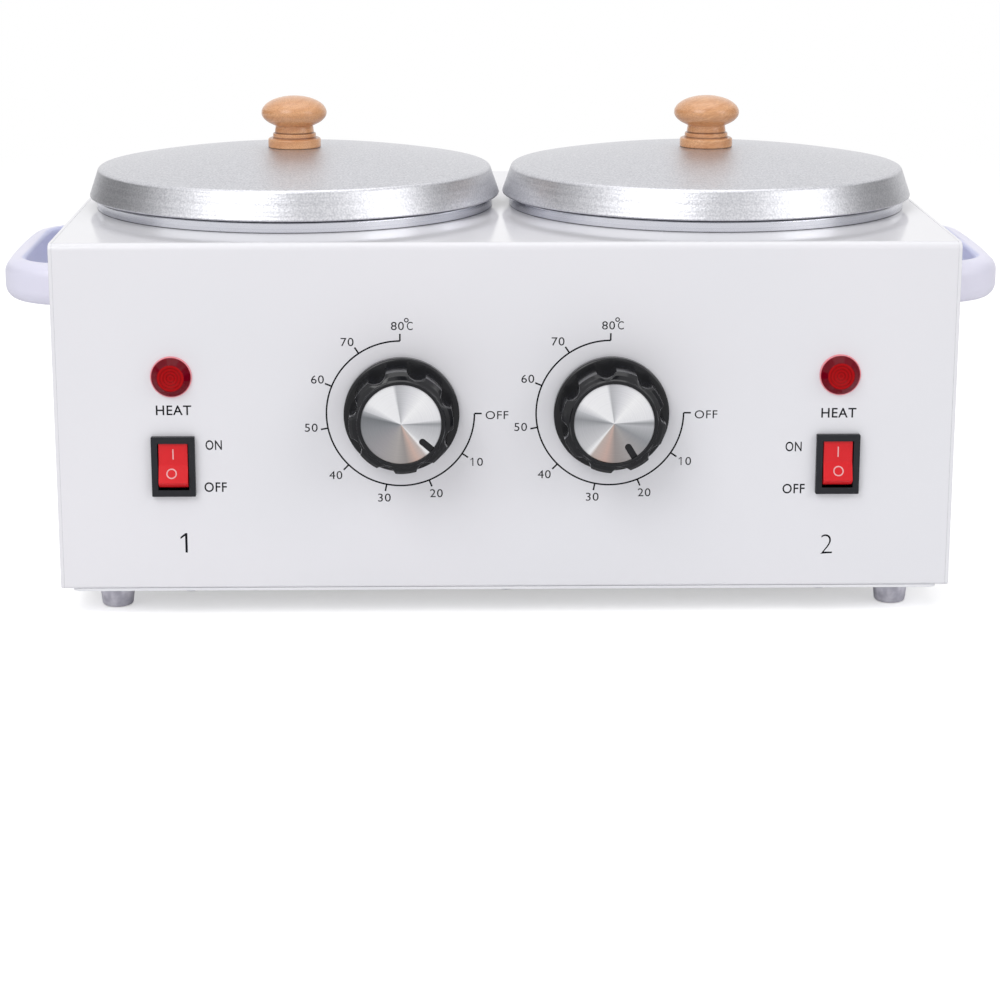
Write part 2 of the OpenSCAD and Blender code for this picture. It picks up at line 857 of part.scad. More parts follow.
// Glass-wool sleeve around a well
module insulation(side) {
  inner = pot_out_r + wool_gap;
  bottom = pot_under_z + wool_lift;
  color(felt)
    on_pot(side) translate([0, 0, bottom])
      difference() {
        cylinder(r = inner + wool_t, h = body_h - 2 * sheet_t - wool_top_gap - bottom, $fn = 96);
        translate([0, 0, -cut]) cylinder(r = inner, h = body_h, $fn = 96);
      }
}

// Cast heater plate with a bore for the sensing bulb and two terminals at the rear
module heater(side) {
  bore_x = -side * bulb_x;
  color(steel)
    on_pot(side)
      difference() {
        union() {
          translate([0, 0, heater_z]) cylinder(r = heater_r, h = heater_t, $fn = 96);
          for (s = [-1, 1])
            translate([s * heater_tab_x, 0, bulb_z]) rotate([-90, 0, 0]) {
              cylinder(r = wire_r, h = heater_tab_y);
              cylinder(r = heater_boss_r, h = heater_r + heater_boss_r);
            }
        }
        translate([0, 0, heater_z - cut]) cylinder(r = stud_d / 2 + screw_gap, h = heater_t + 2 * cut);
        translate([bore_x, -heater_d, bulb_z]) rotate([-90, 0, 0])
          cylinder(r = bulb_d / 2 + sensor_gap, h = heater_d - bulb_front() + bulb_l + 1);
      }
}

// Distance in front of the well's axis at which the sensing bulb's outer end lies
function bulb_front() = sqrt(pow(heater_r, 2) - pow(bulb_x, 2));

// Folded strap that carries the heater and well on the base plate
module strap(side) {
  color(steel)
    difference() {
      on_pot(side) {
        translate([-strap_w / 2, -strap_leg_y, strap_z]) cube([strap_w, strap_span, strap_t]);
        for (s = [0, 1])
          mirror([0, s, 0]) {
            translate([-strap_w / 2, strap_leg_y - strap_t, base_t]) {
              cube([strap_w, strap_t, strap_z - base_t]);
              cube([strap_w, strap_foot_l + strap_t, strap_t]);
            }
          }
      }
      on_pot(side) translate([0, 0, strap_z - cut])
        cylinder(r = stud_d / 2 + screw_gap, h = strap_t + 2 * cut);
      strap_screw_holes();
    }
}

// Nuts that draw the wells down on their straps
module stud_nuts() {
  color(steel)
    for (side = sides)
      on_pot(side) translate([0, 0, strap_z - stud_nut_h]) hex_nut(stud_d / 2, stud_nut_r, stud_nut_h);
}

// Resettable thermal cut-out clipped under the heater, with a terminal at each end
module thermal_cutout(side) {
  color(black)
    on_pot(side) translate([-side * cutout_dx, 0, heater_z]) {
      translate([0, 0, -cutout_h]) cylinder(r = cutout_r, h = cutout_h);
      for (s = [-1, 1])
        translate([-cutout_tab_w / 2, s < 0 ? -cutout_tab_l : 0, -cutout_h - tab_t / 2])
          cube([cutout_tab_w, cutout_tab_l, tab_t]);
    }
}

// Points along an arc
function arc(centre, r, from, to, steps) =
  [for (i = [0 : steps]) let (a = from + (to - from) * i / steps) centre + r * [cos(a), sin(a)]];

// One skin of a lid, from its lower edge to the seat on its crown, a given depth inside its outer face
function lid_skin(depth) =
  let (
    r = lid_edge_r - depth,
    side = atan2(lid_low[0] - lid_high[0], lid_high[1] - lid_low[1]),
    dome_c = [0, crown_z - dome_r],
    dome_start = atan2(lid_high[1] - dome_c[1], lid_high[0]),
    dome_end = asin((seat_z - depth - dome_c[1]) / (dome_r - depth)),
    dome = arc(dome_c, dome_r - depth, dome_start, dome_end, 18)
  )
  concat(
    arc(lid_low, r, -90, side, 8),
    arc(lid_high, r, side, dome_start, 6),
    [for (i = [1 : len(dome) - 1]) dome[i]]
  );

// Spun lid: domed top, leaning skirt, turned-in ledge and a ring that locates it in the well
module lid(side) {
  hole_r = m4[0] + screw_gap;
  inner = lid_skin(lid_t);
  color(aluminium)
    on_pot(side) rotate_extrude($fn = 180)
      polygon(concat(
        lid_skin(0),
        [[hole_r, seat_z], [hole_r, seat_z - lid_t]],
        [for (i = [len(inner) - 1 : -1 : 0]) inner[i]],
        [
          [ring_out_r - lid_t, rim_z + lid_t], [ring_out_r - lid_t, rim_z - lid_ring_h],
          [ring_out_r, rim_z - lid_ring_h], [ring_out_r, rim_z]
        ]
      ));
}

// Half profile of the turned wooden knob, from its axis outwards
module grip_profile() {
  r = grip_d / 2;
  neck = grip_neck_d / 2;
  foot = grip_foot_d / 2;
  step = grip_step_d / 2;
  step_z = grip_foot_h + grip_step_h;
  under = grip_head_z - step_z;
  cove = step - grip_foot_edge - neck;
  polygon(concat(
    [[0, 0], [foot - grip_edge, 0], [foot, grip_edge]],
    [[foot, grip_foot_h - grip_foot_edge], [foot - grip_foot_edge, grip_foot_h]],
    [[step + 0.2, grip_foot_h - grip_edge], [step, grip_foot_h + grip_edge]],
    [[step, step_z - grip_step_edge], [step - grip_step_edge, step_z]],
    [for (a = [0 : 15 : 75]) [neck + cove * pow(cos(a + 15), 3), step_z + under * grip_cove * sin(a)]],
    [for (a = [-60 : 10 : -10]) [neck + (r - neck) * cos(a), grip_head_z + under * grip_swell * sin(a)]],
    [for (a = [0 : 7.5 : 82.5]) [r * cos(a), grip_head_z + grip_dome_h * sin(a)]],
    [[0, grip_head_z + grip_dome_h]]
  ));
}

// Turned wooden knob on the lid's crown
module lid_knob(side) {
  color(beech)
    on_pot(side) translate([0, 0, seat_z])
      difference() {
        rotate_extrude($fn = 96) grip_profile();
        translate([0, 0, -cut]) cylinder(r = m4[0], h = grip_screw_l + cut);
      }
}

// Screw and washer that hold the knob from under the lid
module lid_screw(side) {
  color(steel)
    on_pot(side) translate([0, 0, seat_z - lid_t]) {
      translate([0, 0, -washer_t]) difference() {
        cylinder(r = washer_r, h = washer_t);
        translate([0, 0, -cut]) cylinder(r = m4[0], h = washer_t + 2 * cut);
      }
      translate([0, 0, -washer_t]) mirror([0, 0, 1]) pan_screw(m4, grip_screw_l + washer_t);
    }
}

// Capillary thermostat: mounting plate, body, bushing and two terminals
module thermostat(side) {
  tab_end = stat_back - stat_tab_l;
  color(steel)
    on_front(side * dial_x, dial_z)
      difference() {
        union() {
          translate([0, 0, stat_front]) linear_extrude(stat_plate_t)
            rounded_rect(stat_screw_pitch + stat_plate_past, stat_w, stat_corner_r);
          translate([0, 0, stat_back]) linear_extrude(stat_d)
            rounded_rect(stat_w, stat_w, stat_corner_r);
          translate([0, 0, stat_front])
            cylinder(r = bushing_d / 2, h = stat_nose_l + sheet_t + stat_plate_t);
          for (s = [-1, 1])
            translate([-side * stat_tab_x - stat_tab_w / 2, s * stat_tab_z - tab_t / 2, tab_end])
              cube([stat_tab_w, tab_t, stat_tab_l + stat_tab_root]);
        }
        translate([0, 0, stat_front - spindle_bore_past])
          cylinder(r = spindle_d / 2 + spindle_play, h = spindle_bore_l);
        translate([0, 0, stat_cavity_z - stat_cavity_d]) cylinder(r = stat_cavity_r, h = stat_cavity_d);
        for (s = [-1, 1])
          translate([s * stat_screw_pitch / 2, 0, panel_back - stat_screw_l])
            cylinder(r = m4[0], h = stat_screw_l + cut);
      }
}

// Screws that fix the two thermostats to the panel, hidden under the dials
module thermostat_screws() {
  color(steel)
    for (side = sides)
      for (s = [-1, 1])
        on_front(side * dial_x + s * stat_screw_pitch / 2, dial_z)
          pan_screw(m4, sheet_t + stat_screw_l - stat_screw_short);
}

// Sensing bulb in the heater plate and the thin tube that joins it to the thermostat
module sensor(side) {
  tube_y = face_y - stat_back + stat_tab_l + tube_room;
  bulb_at = side * (pot_x - bulb_x);
  stat_in = face_y - stat_back;
  tube_x = side * (dial_x + tube_dx);
  tube_z = dial_z - tube_drop;
  color(brass)
    in_casing() {
      translate([bulb_at, -bulb_front(), bulb_z]) rotate([-90, 0, 0]) cylinder(r = bulb_d / 2, h = bulb_l);
      run([
        [bulb_at, -bulb_front(), bulb_z],
        [bulb_at, tube_y, bulb_z],
        [tube_x, tube_y, bulb_z],
        [tube_x, tube_y, tube_z],
        [tube_x, stat_in, tube_z]
      ], capillary_d / 2, wire_bend_r);
    }
}

// Turns its children to a dial's setting, with the pointer along x
module dial_turn(side) {
  on_front(side * dial_x, dial_z) rotate([0, 0, side < 0 ? -dial_left_at : -dial_right_at]) children();
}

// Spindle with the disc that keeps it in the thermostat
module dial_spindle(side) {
  disc_z = stat_cavity_z - (stat_cavity_d + spindle_disc_t) / 2;
  color(steel)
    dial_turn(side) translate([0, 0, disc_z]) {
      cylinder(r = spindle_d / 2, h = cap_z - spindle_drop - disc_z);
      cylinder(r = stat_cavity_r - spindle_disc_play, h = spindle_disc_t);
    }
}

// Dial knob: skirt, fluted grip with a chamfer, upper cone and a recess for the cap
module dial_knob(side) {
  grip_r = dial_grip_d / 2;
  cone_r = grip_r - dial_chamfer;
  rim_r = dial_rim_d / 2;
  skirt_r = dial_skirt_d / 2;
  edge = dial_edge;
  hollow_r = grip_r - flute_depth - dial_wall;
  color(black)
    dial_turn(side)
      difference() {
        union() {
          translate([0, 0, dial_gap]) cylinder(r = skirt_r, h = dial_skirt_h - edge);
          translate([0, 0, dial_skirt_top - edge]) cylinder(r1 = skirt_r, r2 = skirt_r - edge, h = edge);
          difference() {
            union() {
              translate([0, 0, dial_gap + 1]) cylinder(r = grip_r, h = dial_grip_top - dial_gap - 1);
              translate([0, 0, dial_grip_top]) cylinder(r1 = grip_r, r2 = cone_r, h = dial_chamfer);
              translate([0, 0, dial_cone_z])
                cylinder(r1 = cone_r, r2 = rim_r, h = dial_h - dial_cone_z - edge);
              translate([0, 0, dial_h - edge]) cylinder(r1 = rim_r, r2 = rim_r - edge / 2, h = edge);
            }
            for (i = [0 : dial_lobes - 1])
              rotate([0, 0, (i + 0.5) * 360 / dial_lobes])
                translate([grip_r - flute_depth + flute_r, 0, dial_skirt_top])
                  cylinder(r = flute_r, h = dial_h);
          }
        }
        translate([0, 0, cap_z]) cylinder(r = cap_d / 2 + cap_play, h = dial_h);
        translate([0, 0, dial_gap - cut])
          cylinder(r = stat_screw_pitch / 2 + m4[1] + screw_head_room, h = cut + m4[2] + screw_gap);
        difference() {
          translate([0, 0, dial_gap]) cylinder(r = hollow_r, h = cap_z - dial_web - dial_gap);
          translate([0, 0, dial_boss_z]) cylinder(r = spindle_d / 2 + dial_web, h = dial_h);
        }
        cylinder(r = spindle_d / 2, h = cap_z - spindle_drop);
      }
}

// Spun cap let into the dial, slotted for the pointer
module dial_cap(side) {
  r = cap_d / 2;
  color(aluminium)
    dial_turn(side) translate([0, 0, cap_z])
      difference() {
        cylinder(r = r, h = cap_t);
        translate([pointer_r, 0, -cut]) cylinder(r = pointer_w / 2, h = cap_t + 2 * cut);
        translate([pointer_r, -pointer_w / 2, -cut]) cube([r, pointer_w, cap_t + 2 * cut]);
      }
}

// Switch housing: bezel, body behind the panel, a round pocket for the rocker and side clips
module switch_body(side) {
  pocket_r = rocker_r + rocker_gap;
  pocket_w = rocker_w + 2 * rocker_gap;
  socket_l = rocker_w + 2 * (trunnion_l + trunnion_end_gap);
  pivot_z = bezel_t - pivot_depth;
  color(black)
    on_front(side * switch_x, switch_z)
      difference() {
        union() {
          linear_extrude(bezel_t) rounded_rect(bezel_w, bezel_h, bezel_corner_r);
          translate([-switch_body_w / 2, -switch_body_h / 2, switch_back])
            cube([switch_body_w, switch_body_h, switch_body_d + sheet_t]);
          for (s = [-1, 1])
            translate([0, s * (switch_body_h / 2 - clip_sink), panel_back])
              rotate([0, 90, 0]) linear_extrude(clip_w, center = true)
                polygon([[0, 0], [0, s], [clip_l, 0]]);
        }
        intersection() {
          translate([-pocket_w / 2, 0, pivot_z]) rotate([0, 90, 0]) cylinder(r = pocket_r, h = pocket_w);
          translate([-pocket_w / 2, -bezel_h, pivot_z]) cube([pocket_w, 2 * bezel_h, 2 * pocket_r]);
        }
        translate([-pocket_w / 2, -pocket_r, pivot_z - pocket_below])
          cube([pocket_w, 2 * pocket_r, pocket_below]);
        translate([0, 0, pivot_z]) rotate([0, 90, 0])
          cylinder(r = trunnion_d / 2 + trunnion_play, h = socket_l, center = true);
      }
}

// Rocker, tilted with its upper half pressed in, on two stub pins
module rocker(side) {
  pivot_z = bezel_t - pivot_depth;
  rise = crease_h + rocker_r * tan(crease_slope);
  color(red)
    on_front(side * switch_x, switch_z) translate([0, 0, pivot_z]) rotate([-rocker_tilt, 0, 0]) {
      intersection() {
        translate([-rocker_w / 2, 0, 0]) rotate([0, 90, 0]) cylinder(r = rocker_r, h = rocker_w);
        translate([rocker_w / 2, 0, 0]) rotate([0, -90, 0]) linear_extrude(rocker_w)
          polygon([
            [crease_h, 0], [rise, rocker_r], [rocker_side_z, rocker_r],
            [-rocker_keel[0], rocker_keel[1]], [-rocker_keel[0], -rocker_keel[1]],
            [rocker_side_z, -rocker_r], [rise, -rocker_r]
          ]);
      }
      rotate([0, 90, 0]) cylinder(r = trunnion_d / 2, h = rocker_w + 2 * trunnion_l, center = true);
      translate([-actuator[0] / 2, -actuator[1] / 2, -actuator[2]]) cube(actuator);
    }
}

// Two flat terminals out of the back of a switch
module switch_contacts(side) {
  color(brass)
    on_front(side * switch_x, switch_z)
      for (s = [-1, 1])
        translate([-contact_w / 2, s * contact_z - tab_t / 2, switch_back - contact_l])
          cube([contact_w, tab_t, contact_l]);
}

// Lens: thin flange, sloping side, a face with rings stepped into it and a hollow shank
module lamp_lens(side) {
  face_r = lens_face_d / 2;
  shank_r = barrel_d / 2 - barrel_wall;
  color(red)
    on_front(side * switch_x, lamp_z)
      difference() {
        union() {
          cylinder(r = lens_d / 2, h = lens_flange_h);
          translate([0, 0, lens_flange_h])
            cylinder(r1 = lens_d / 2 - lens_lip, r2 = face_r, h = lens_h - lens_flange_h);
          translate([0, 0, -lens_shank_l]) cylinder(r = shank_r, h = lens_shank_l);
        }
        for (i = [1 : 3])
          translate([0, 0, lens_h - lens_ring_h * i]) cylinder(r = face_r - i * lens_ring_w, h = cut);
        translate([0, 0, -lens_shank_l - cut])
          cylinder(r = face_r - lens_wall, h = lens_h + lens_shank_l + cut - lens_skin);
      }
}

// Lamp barrel behind the panel with a snap ring and two leads' outlets
module lamp_barrel(side) {
  r = barrel_d / 2;
  color(black)
    on_front(side * switch_x, lamp_z)
      difference() {
        union() {
          translate([0, 0, lamp_back]) cylinder(r = r, h = barrel_l + sheet_t);
          translate([0, 0, panel_back - snap_ring[1]]) cylinder(r = r + snap_ring[0], h = snap_ring[1]);
        }
        translate([0, 0, lamp_back + barrel_floor]) cylinder(r = r - barrel_wall, h = barrel_l + sheet_t);
      }
}

// Outline of the inlet's body, with its two upper corners cut
module inlet_outline(gap) {
  w = inlet_body[0] + 2 * gap;
  h = inlet_body[1] + 2 * gap;
  c = inlet_cut_corner;
  polygon([
    [-w / 2, -h / 2], [w / 2, -h / 2], [w / 2, h / 2 - c],
    [w / 2 - c, h / 2], [c - w / 2, h / 2], [-w / 2, h / 2 - c]
  ]);
}

// Three-pole appliance inlet in the rear panel
module power_inlet() {
  color(black)
    on_rear(0, inlet_z)
      difference() {
        union() {
          linear_extrude(inlet_t) rounded_rect(inlet_w, inlet_h, inlet_corner_r);
          translate([0, 0, -inlet_back]) linear_extrude(inlet_back) inlet_outline(0);
        }
        translate([0, 0, inlet_t - socket_d]) linear_extrude(socket_d + cut) inlet_outline(-inlet_wall);
        for (s = sides)
          translate([s * inlet_screw_pitch / 2, 0, -cut])
            cylinder(r = m3[0] + screw_gap, h = inlet_t + 2 * cut);
        inlet_pin_places() translate([0, 0, -inlet_back - cut])
          linear_extrude(inlet_back) square(pin, center = true);
      }
}

// Places of the three pins: live and neutral below, earth above
module inlet_pin_places() {
  for (s = sides)
    translate([s * pin_pitch / 2, -earth_rise / 2, 0]) children();
  translate([0, earth_rise / 2, 0]) children();
}

// Flat pins that run through the inlet and end in terminals behind it
module inlet_pins() {
  color(brass)
    on_rear(0, inlet_z) inlet_pin_places()
      translate([0, 0, -inlet_back - tab_l]) linear_extrude(inlet_back + tab_l - pin_short)
        square(pin, center = true);
}

// Screws and nuts of the inlet's flange
module inlet_screws() {
  color(steel)
    for (s = sides)
      on_rear(s * inlet_screw_pitch / 2, inlet_z) {
        translate([0, 0, inlet_t]) pan_screw(m3, inlet_t + sheet_t + inlet_screw_past);
        translate([0, 0, -sheet_t - m3_nut_h]) hex_nut(m3[0], m3_nut_r, m3_nut_h);
      }
}

// Terminal block on the base plate, with a row of screw wells along its top
module terminal_block() {
  color(ivory)
    in_casing() translate([0, block_y, base_t])
      difference() {
        translate([-block_w / 2, -block_d / 2, 0]) cube([block_w, block_d, block_h]);
        for (i = [-1.5 : 1 : 1.5])
          for (s = [-1, 1])
            translate([i * block_pole, s * block_well_y, block_h - block_well_d])
              cylinder(r = block_well_r, h = block_well_d + cut);
        for (i = [-1 : 1])
          translate([i * block_pole - block_groove[0] / 2, -block_d / 2 - cut, block_h - block_groove[1]])
            cube([block_groove[0], block_d + 2 * cut, block_groove[1] + cut]);
      }
}

// Brown wires: inlet to block, block to switches, switches to thermostats, cut-outs and heaters
module live_wires() {
  tab_y = body_d / 2 - inlet_back - tab_l;
  front = block_y - block_d / 2;
  stat_y = face_y - stat_back + stat_tab_l;
  contact_y = face_y - switch_back + contact_l;
  upper = switch_z + contact_z;
  lower = switch_z - contact_z;
  cutout_x = pot_x - cutout_dx;
  panel_y = contact_y + contact_room;
  link_y = stat_y + link_room;
  heater_y = heater_tab_y + live_room;
  low_z = heater_z - under_heater;
  link_z = block_wire_z + 4;
  color(brown_wire)
    in_casing() {
      run([
        [-pin_pitch / 2, tab_y, inlet_z - earth_rise / 2],
        [-pin_pitch / 2, tab_y - inlet_tab_room, inlet_z - earth_rise / 2],
        [-pin_pitch / 2, tab_y - inlet_tab_room, block_wire_z],
        [-pin_pitch / 2, block_y + block_d / 2, block_wire_z]
      ], wire_r, wire_bend_r);
      for (s = sides) {
        feed_x = s * pair_gap - pin_pitch / 2;
        feed_y = panel_y + (s < 0 ? feed_room : 0);
        link_x = s * (switch_x - link_side);
        tab_x = s * (dial_x - stat_tab_x);
        run([
          [feed_x, front, block_wire_z],
          [feed_x, feed_y, block_wire_z],
          [s * switch_x, feed_y, block_wire_z],
          [s * switch_x, feed_y, lower],
          [s * switch_x, contact_y, lower]
        ], wire_r, wire_bend_r);
        run([
          [s * switch_x, contact_y, upper],
          [s * switch_x, panel_y, upper],
          [link_x, panel_y, upper],
          [link_x, panel_y, link_z],
          [tab_x, panel_y, link_z],
          [tab_x, link_y, link_z],
          [tab_x, link_y, dial_z - stat_tab_z],
          [tab_x, stat_y, dial_z - stat_tab_z]
        ], wire_r, wire_bend_r);
        run([
          [tab_x, stat_y, dial_z + stat_tab_z],
          [tab_x, -drop_y, dial_z + stat_tab_z],
          [tab_x, -drop_y, low_z],
          [s * cutout_x, -drop_y, low_z],
          [s * cutout_x, -cutout_tab_l, low_z]
        ], wire_r, wire_bend_r);
        run([
          [s * cutout_x, cutout_tab_l, low_z],
          [s * cutout_x, heater_y, low_z],
          [s * cutout_x, heater_y, bulb_z],
          [s * (pot_x - heater_tab_x), heater_y, bulb_z],
          [s * (pot_x - heater_tab_x), heater_tab_y, bulb_z]
        ], wire_r, wire_bend_r);
      }
    }
}

// Blue wires: inlet to block and block to heaters
module neutral_wires() {
  tab_y = body_d / 2 - inlet_back - tab_l;
  front = block_y - block_d / 2;
  heater_y = heater_tab_y + neutral_room;
  color(blue_wire)
    in_casing() {
      run([
        [pin_pitch / 2, tab_y, inlet_z - earth_rise / 2],
        [pin_pitch / 2, tab_y - inlet_tab_room, inlet_z - earth_rise / 2],
        [pin_pitch / 2, tab_y - inlet_tab_room, block_wire_z],
        [pin_pitch / 2, block_y + block_d / 2, block_wire_z]
      ], wire_r, wire_bend_r);
      for (s = sides) {
        block_x = pin_pitch / 2 + s * pair_gap;
        side_y = front - (s < 0 ? blue_left_room : blue_right_room);
        out_x = s * (pot_x - strap_w / 2 - strap_room);
        run([
          [block_x, front, low_wire_z],
          [block_x, side_y, low_wire_z],
          [out_x, side_y, low_wire_z],
          [out_x, heater_y, low_wire_z],
          [out_x, heater_y, bulb_z],
          [s * (pot_x + heater_tab_x), heater_y, bulb_z],
          [s * (pot_x + heater_tab_x), heater_tab_y, bulb_z]
        ], wire_r, wire_bend_r);
      }
    }
}

// Earth wire from the inlet's upper pin to a lug on the base plate
module earth_wire() {
  tab_y = body_d / 2 - inlet_back - tab_l;
  color(green_wire)
    in_casing() {
      difference() {
        translate([0, lug_y, base_t]) cylinder(r = lug_r, h = lug_t);
        translate([0, lug_y, base_t - cut]) cylinder(r = m3[0], h = lug_t + 2 * cut);
      }
      run([
        [0, tab_y, inlet_z + earth_rise / 2],
        [0, lug_y + lug_bend_y, inlet_z + earth_rise / 2],
        [0, lug_y + lug_bend_y, base_t + lug_t]
      ], wire_r, wire_bend_r);
    }
}

cover_wrap();
side_panel(left);  // side_panel_left
side_panel(right);  // side_panel_right
base_plate();
base_screws();
foot(left, -1);  // foot_front_left
foot(right, -1);  // foot_front_right
foot(left, 1);  // foot_rear_left
foot(right, 1);  // foot_rear_right
foot_screws();
handle(left);  // handle_left
handle(right);  // handle_right
handle_screws();
pot(left);  // pot_left
pot(right);  // pot_right
insulation(left);  // insulation_left
insulation(right);  // insulation_right
heater(left);  // heater_left
heater(right);  // heater_right
strap(left);  // strap_left
strap(right);  // strap_right
stud_nuts();
thermal_cutout(left);  // thermal_cutout_left
thermal_cutout(right);  // thermal_cutout_right
lid(left);  // lid_left
lid(right);  // lid_right
lid_knob(left);  // lid_knob_left
lid_knob(right);  // lid_knob_right
lid_screw(left);  // lid_screw_left
lid_screw(right);  // lid_screw_right
thermostat(left);  // thermostat_left
thermostat(right);  // thermostat_right
thermostat_screws();
sensor(left);  // sensor_left
sensor(right);  // sensor_right
dial_spindle(left);  // dial_spindle_left
dial_spindle(right);  // dial_spindle_right
dial_knob(left);  // dial_knob_left
dial_knob(right);  // dial_knob_right
dial_cap(left);  // dial_cap_left
dial_cap(right);  // dial_cap_right
switch_body(left);  // switch_body_left
switch_body(right);  // switch_body_right
rocker(left);  // rocker_left
rocker(right);  // rocker_right
switch_contacts(left);  // switch_contacts_left
switch_contacts(right);  // switch_contacts_right
lamp_lens(left);  // lamp_lens_left
lamp_lens(right);  // lamp_lens_right
lamp_barrel(left);  // lamp_barrel_left
lamp_barrel(right);  // lamp_barrel_right
power_inlet();
inlet_pins();
inlet_screws();
terminal_block();
live_wires();
neutral_wires();
earth_wire();
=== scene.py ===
"""Looks of a double wax warmer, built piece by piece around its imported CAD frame.

Lengths are in millimetres up to the point where a Shape is built, and in metres from there on.
The front faces -Y and +Z is up, as in the CAD. On a face of the casing, x runs across, y runs up
and z points out of it.
"""

import logging
import math
from collections.abc import Sequence
from dataclasses import dataclass, replace
from enum import Enum
from functools import cache

import bmesh
import bpy
from mathutils import Matrix, Vector


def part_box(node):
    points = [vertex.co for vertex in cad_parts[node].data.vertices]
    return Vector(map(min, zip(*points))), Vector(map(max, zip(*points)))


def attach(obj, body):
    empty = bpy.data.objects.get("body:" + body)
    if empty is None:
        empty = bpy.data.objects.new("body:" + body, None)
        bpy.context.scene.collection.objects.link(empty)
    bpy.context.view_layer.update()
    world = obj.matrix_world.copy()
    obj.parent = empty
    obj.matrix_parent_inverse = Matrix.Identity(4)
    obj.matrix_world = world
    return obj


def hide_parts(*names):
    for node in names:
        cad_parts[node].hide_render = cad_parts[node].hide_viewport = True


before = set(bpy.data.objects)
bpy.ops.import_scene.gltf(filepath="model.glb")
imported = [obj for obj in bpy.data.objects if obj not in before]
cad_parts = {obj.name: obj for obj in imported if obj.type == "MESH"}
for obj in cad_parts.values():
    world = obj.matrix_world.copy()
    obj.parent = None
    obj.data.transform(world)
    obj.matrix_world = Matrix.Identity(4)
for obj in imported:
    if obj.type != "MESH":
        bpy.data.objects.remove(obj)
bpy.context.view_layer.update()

logging.basicConfig(level=logging.INFO, format="%(message)s")
log = logging.getLogger("wax_warmer")

MM = 0.001
CASING = "casing"

# Half the thickness of a print, and how far a cutter reaches through a sheet or past a face
INK = 0.02
HOLE_DEPTH = 3.0
PAST = 1.0

# From which angle on an edge is shaded sharp, and from which a soft piece rounds it off
CREASE_ANGLE = math.radians(32)
BEVEL_ANGLE = math.radians(40)

# The casing's outside, the sheet it is folded from and the wells' rims
HALF_W = 155.0
DEPTH = 190.0
MID_Y = 6.95
FRONT = MID_Y - DEPTH / 2
REAR = MID_Y + DEPTH / 2
UNDER = 9.5
TOP = UNDER + 122.0
SHEET = 1.2
RIM = TOP + 4.3

# Places on the front panel's right half, which the left half mirrors
DIAL_AT = (36.0, 72.7)
SWITCH_AT = (114.6, 54.4)
LAMP_AT = (114.6, 85.7)

Flat = tuple[float, float]
Point = tuple[float, float, float]
Colour = tuple[float, float, float]
Wires = dict[str | int, object]


def srgb(red: int, green: int, blue: int) -> Colour:
    """Turns a colour as read off a screen into the linear one that a shader takes.

    Args:
        red, green, blue: The parts of the colour, 0 to 255.

    Returns:
        The linear colour.
    """
    parts = [part / 255 for part in (red, green, blue)]
    return tuple(p / 12.92 if p <= 0.04045 else ((p + 0.055) / 1.055) ** 2.4 for p in parts)


class Side(Enum):
    """The two halves of the warmer, as the sign of their X."""

    LEFT = -1
    RIGHT = 1

    @property
    def word(self) -> str:
        """The side's name in the names of pieces."""
        return self.name.lower()

    def on_front(self, at: Flat) -> Matrix:
        """The placement of a piece on the front panel, from its place on the right half."""
        return Face.FRONT.at(self.value * at[0], FRONT, at[1])


class End(Enum):
    """The two ends of the base, front and rear, by their words in the names of nodes."""

    FRONT = "front"
    REAR = "rear"


class Mover(Enum):
    """What moves on each half of the warmer."""

    LID = "lid"
    DIAL = "dial"
    ROCKER = "rocker"

    def on(self, side: Side) -> str:
        """The name of its CAD body on one side."""
        return f"{side.word}_{self.value}"


class Slot(Enum):
    """The material slots."""

    ENAMEL = "enamel"
    FOOT = "foot"
    HANDLE = "handle"
    ZINC = "zinc"
    WELL = "well_aluminium"
    LID = "lid_aluminium"
    BEECH = "beech"
    DIAL = "dial_black"
    CAP = "cap_aluminium"
    BLACK = "black_plastic"
    ROCKER = "rocker_red"
    LENS = "lens_red"


class Face(Enum):
    """A face of the casing, as the directions of its x, y and z."""

    FRONT = ((1, 0, 0), (0, 0, 1), (0, -1, 0))
    REAR = ((-1, 0, 0), (0, 0, 1), (0, 1, 0))
    LEFT = ((0, -1, 0), (0, 0, 1), (-1, 0, 0))
    RIGHT = ((0, 1, 0), (0, 0, 1), (1, 0, 0))
    TOP = ((1, 0, 0), (0, 1, 0), (0, 0, 1))

    def at(self, x: float, y: float, z: float) -> Matrix:
        """Gives the placement of a piece on this face.

        Args:
            x, y, z: The piece's origin in the row frame.

        Returns:
            The matrix from the piece's own frame to the row frame.
        """
        turn = Matrix(self.value).transposed().to_4x4()
        return Matrix.Translation((x, y, z)) @ turn


# How far each dial is turned from OFF in the photograph, clockwise in degrees
DIAL_TURNS = {Side.LEFT: 40.0, Side.RIGHT: 59.0}

# Turns an outline of (depth, height) that was raised along z so that it is raised along x
SIDE_ON = Matrix(((0, 0, 1), (1, 0, 0), (0, 1, 0))).to_4x4()


def about(axis: str, degrees: float) -> Matrix:
    """A turn about one of the axes."""
    return Matrix.Rotation(math.radians(degrees), 4, axis)


def moved(x: float, y: float, z: float = 0.0) -> Matrix:
    """A move along the axes."""
    return Matrix.Translation((x, y, z))


def circle(radius: float, centre: Flat = (0.0, 0.0), steps: int = 24) -> list[Flat]:
    """The outline of a drilled hole."""
    return arc(centre, radius, 0, 360 - 360 / steps, steps - 1)


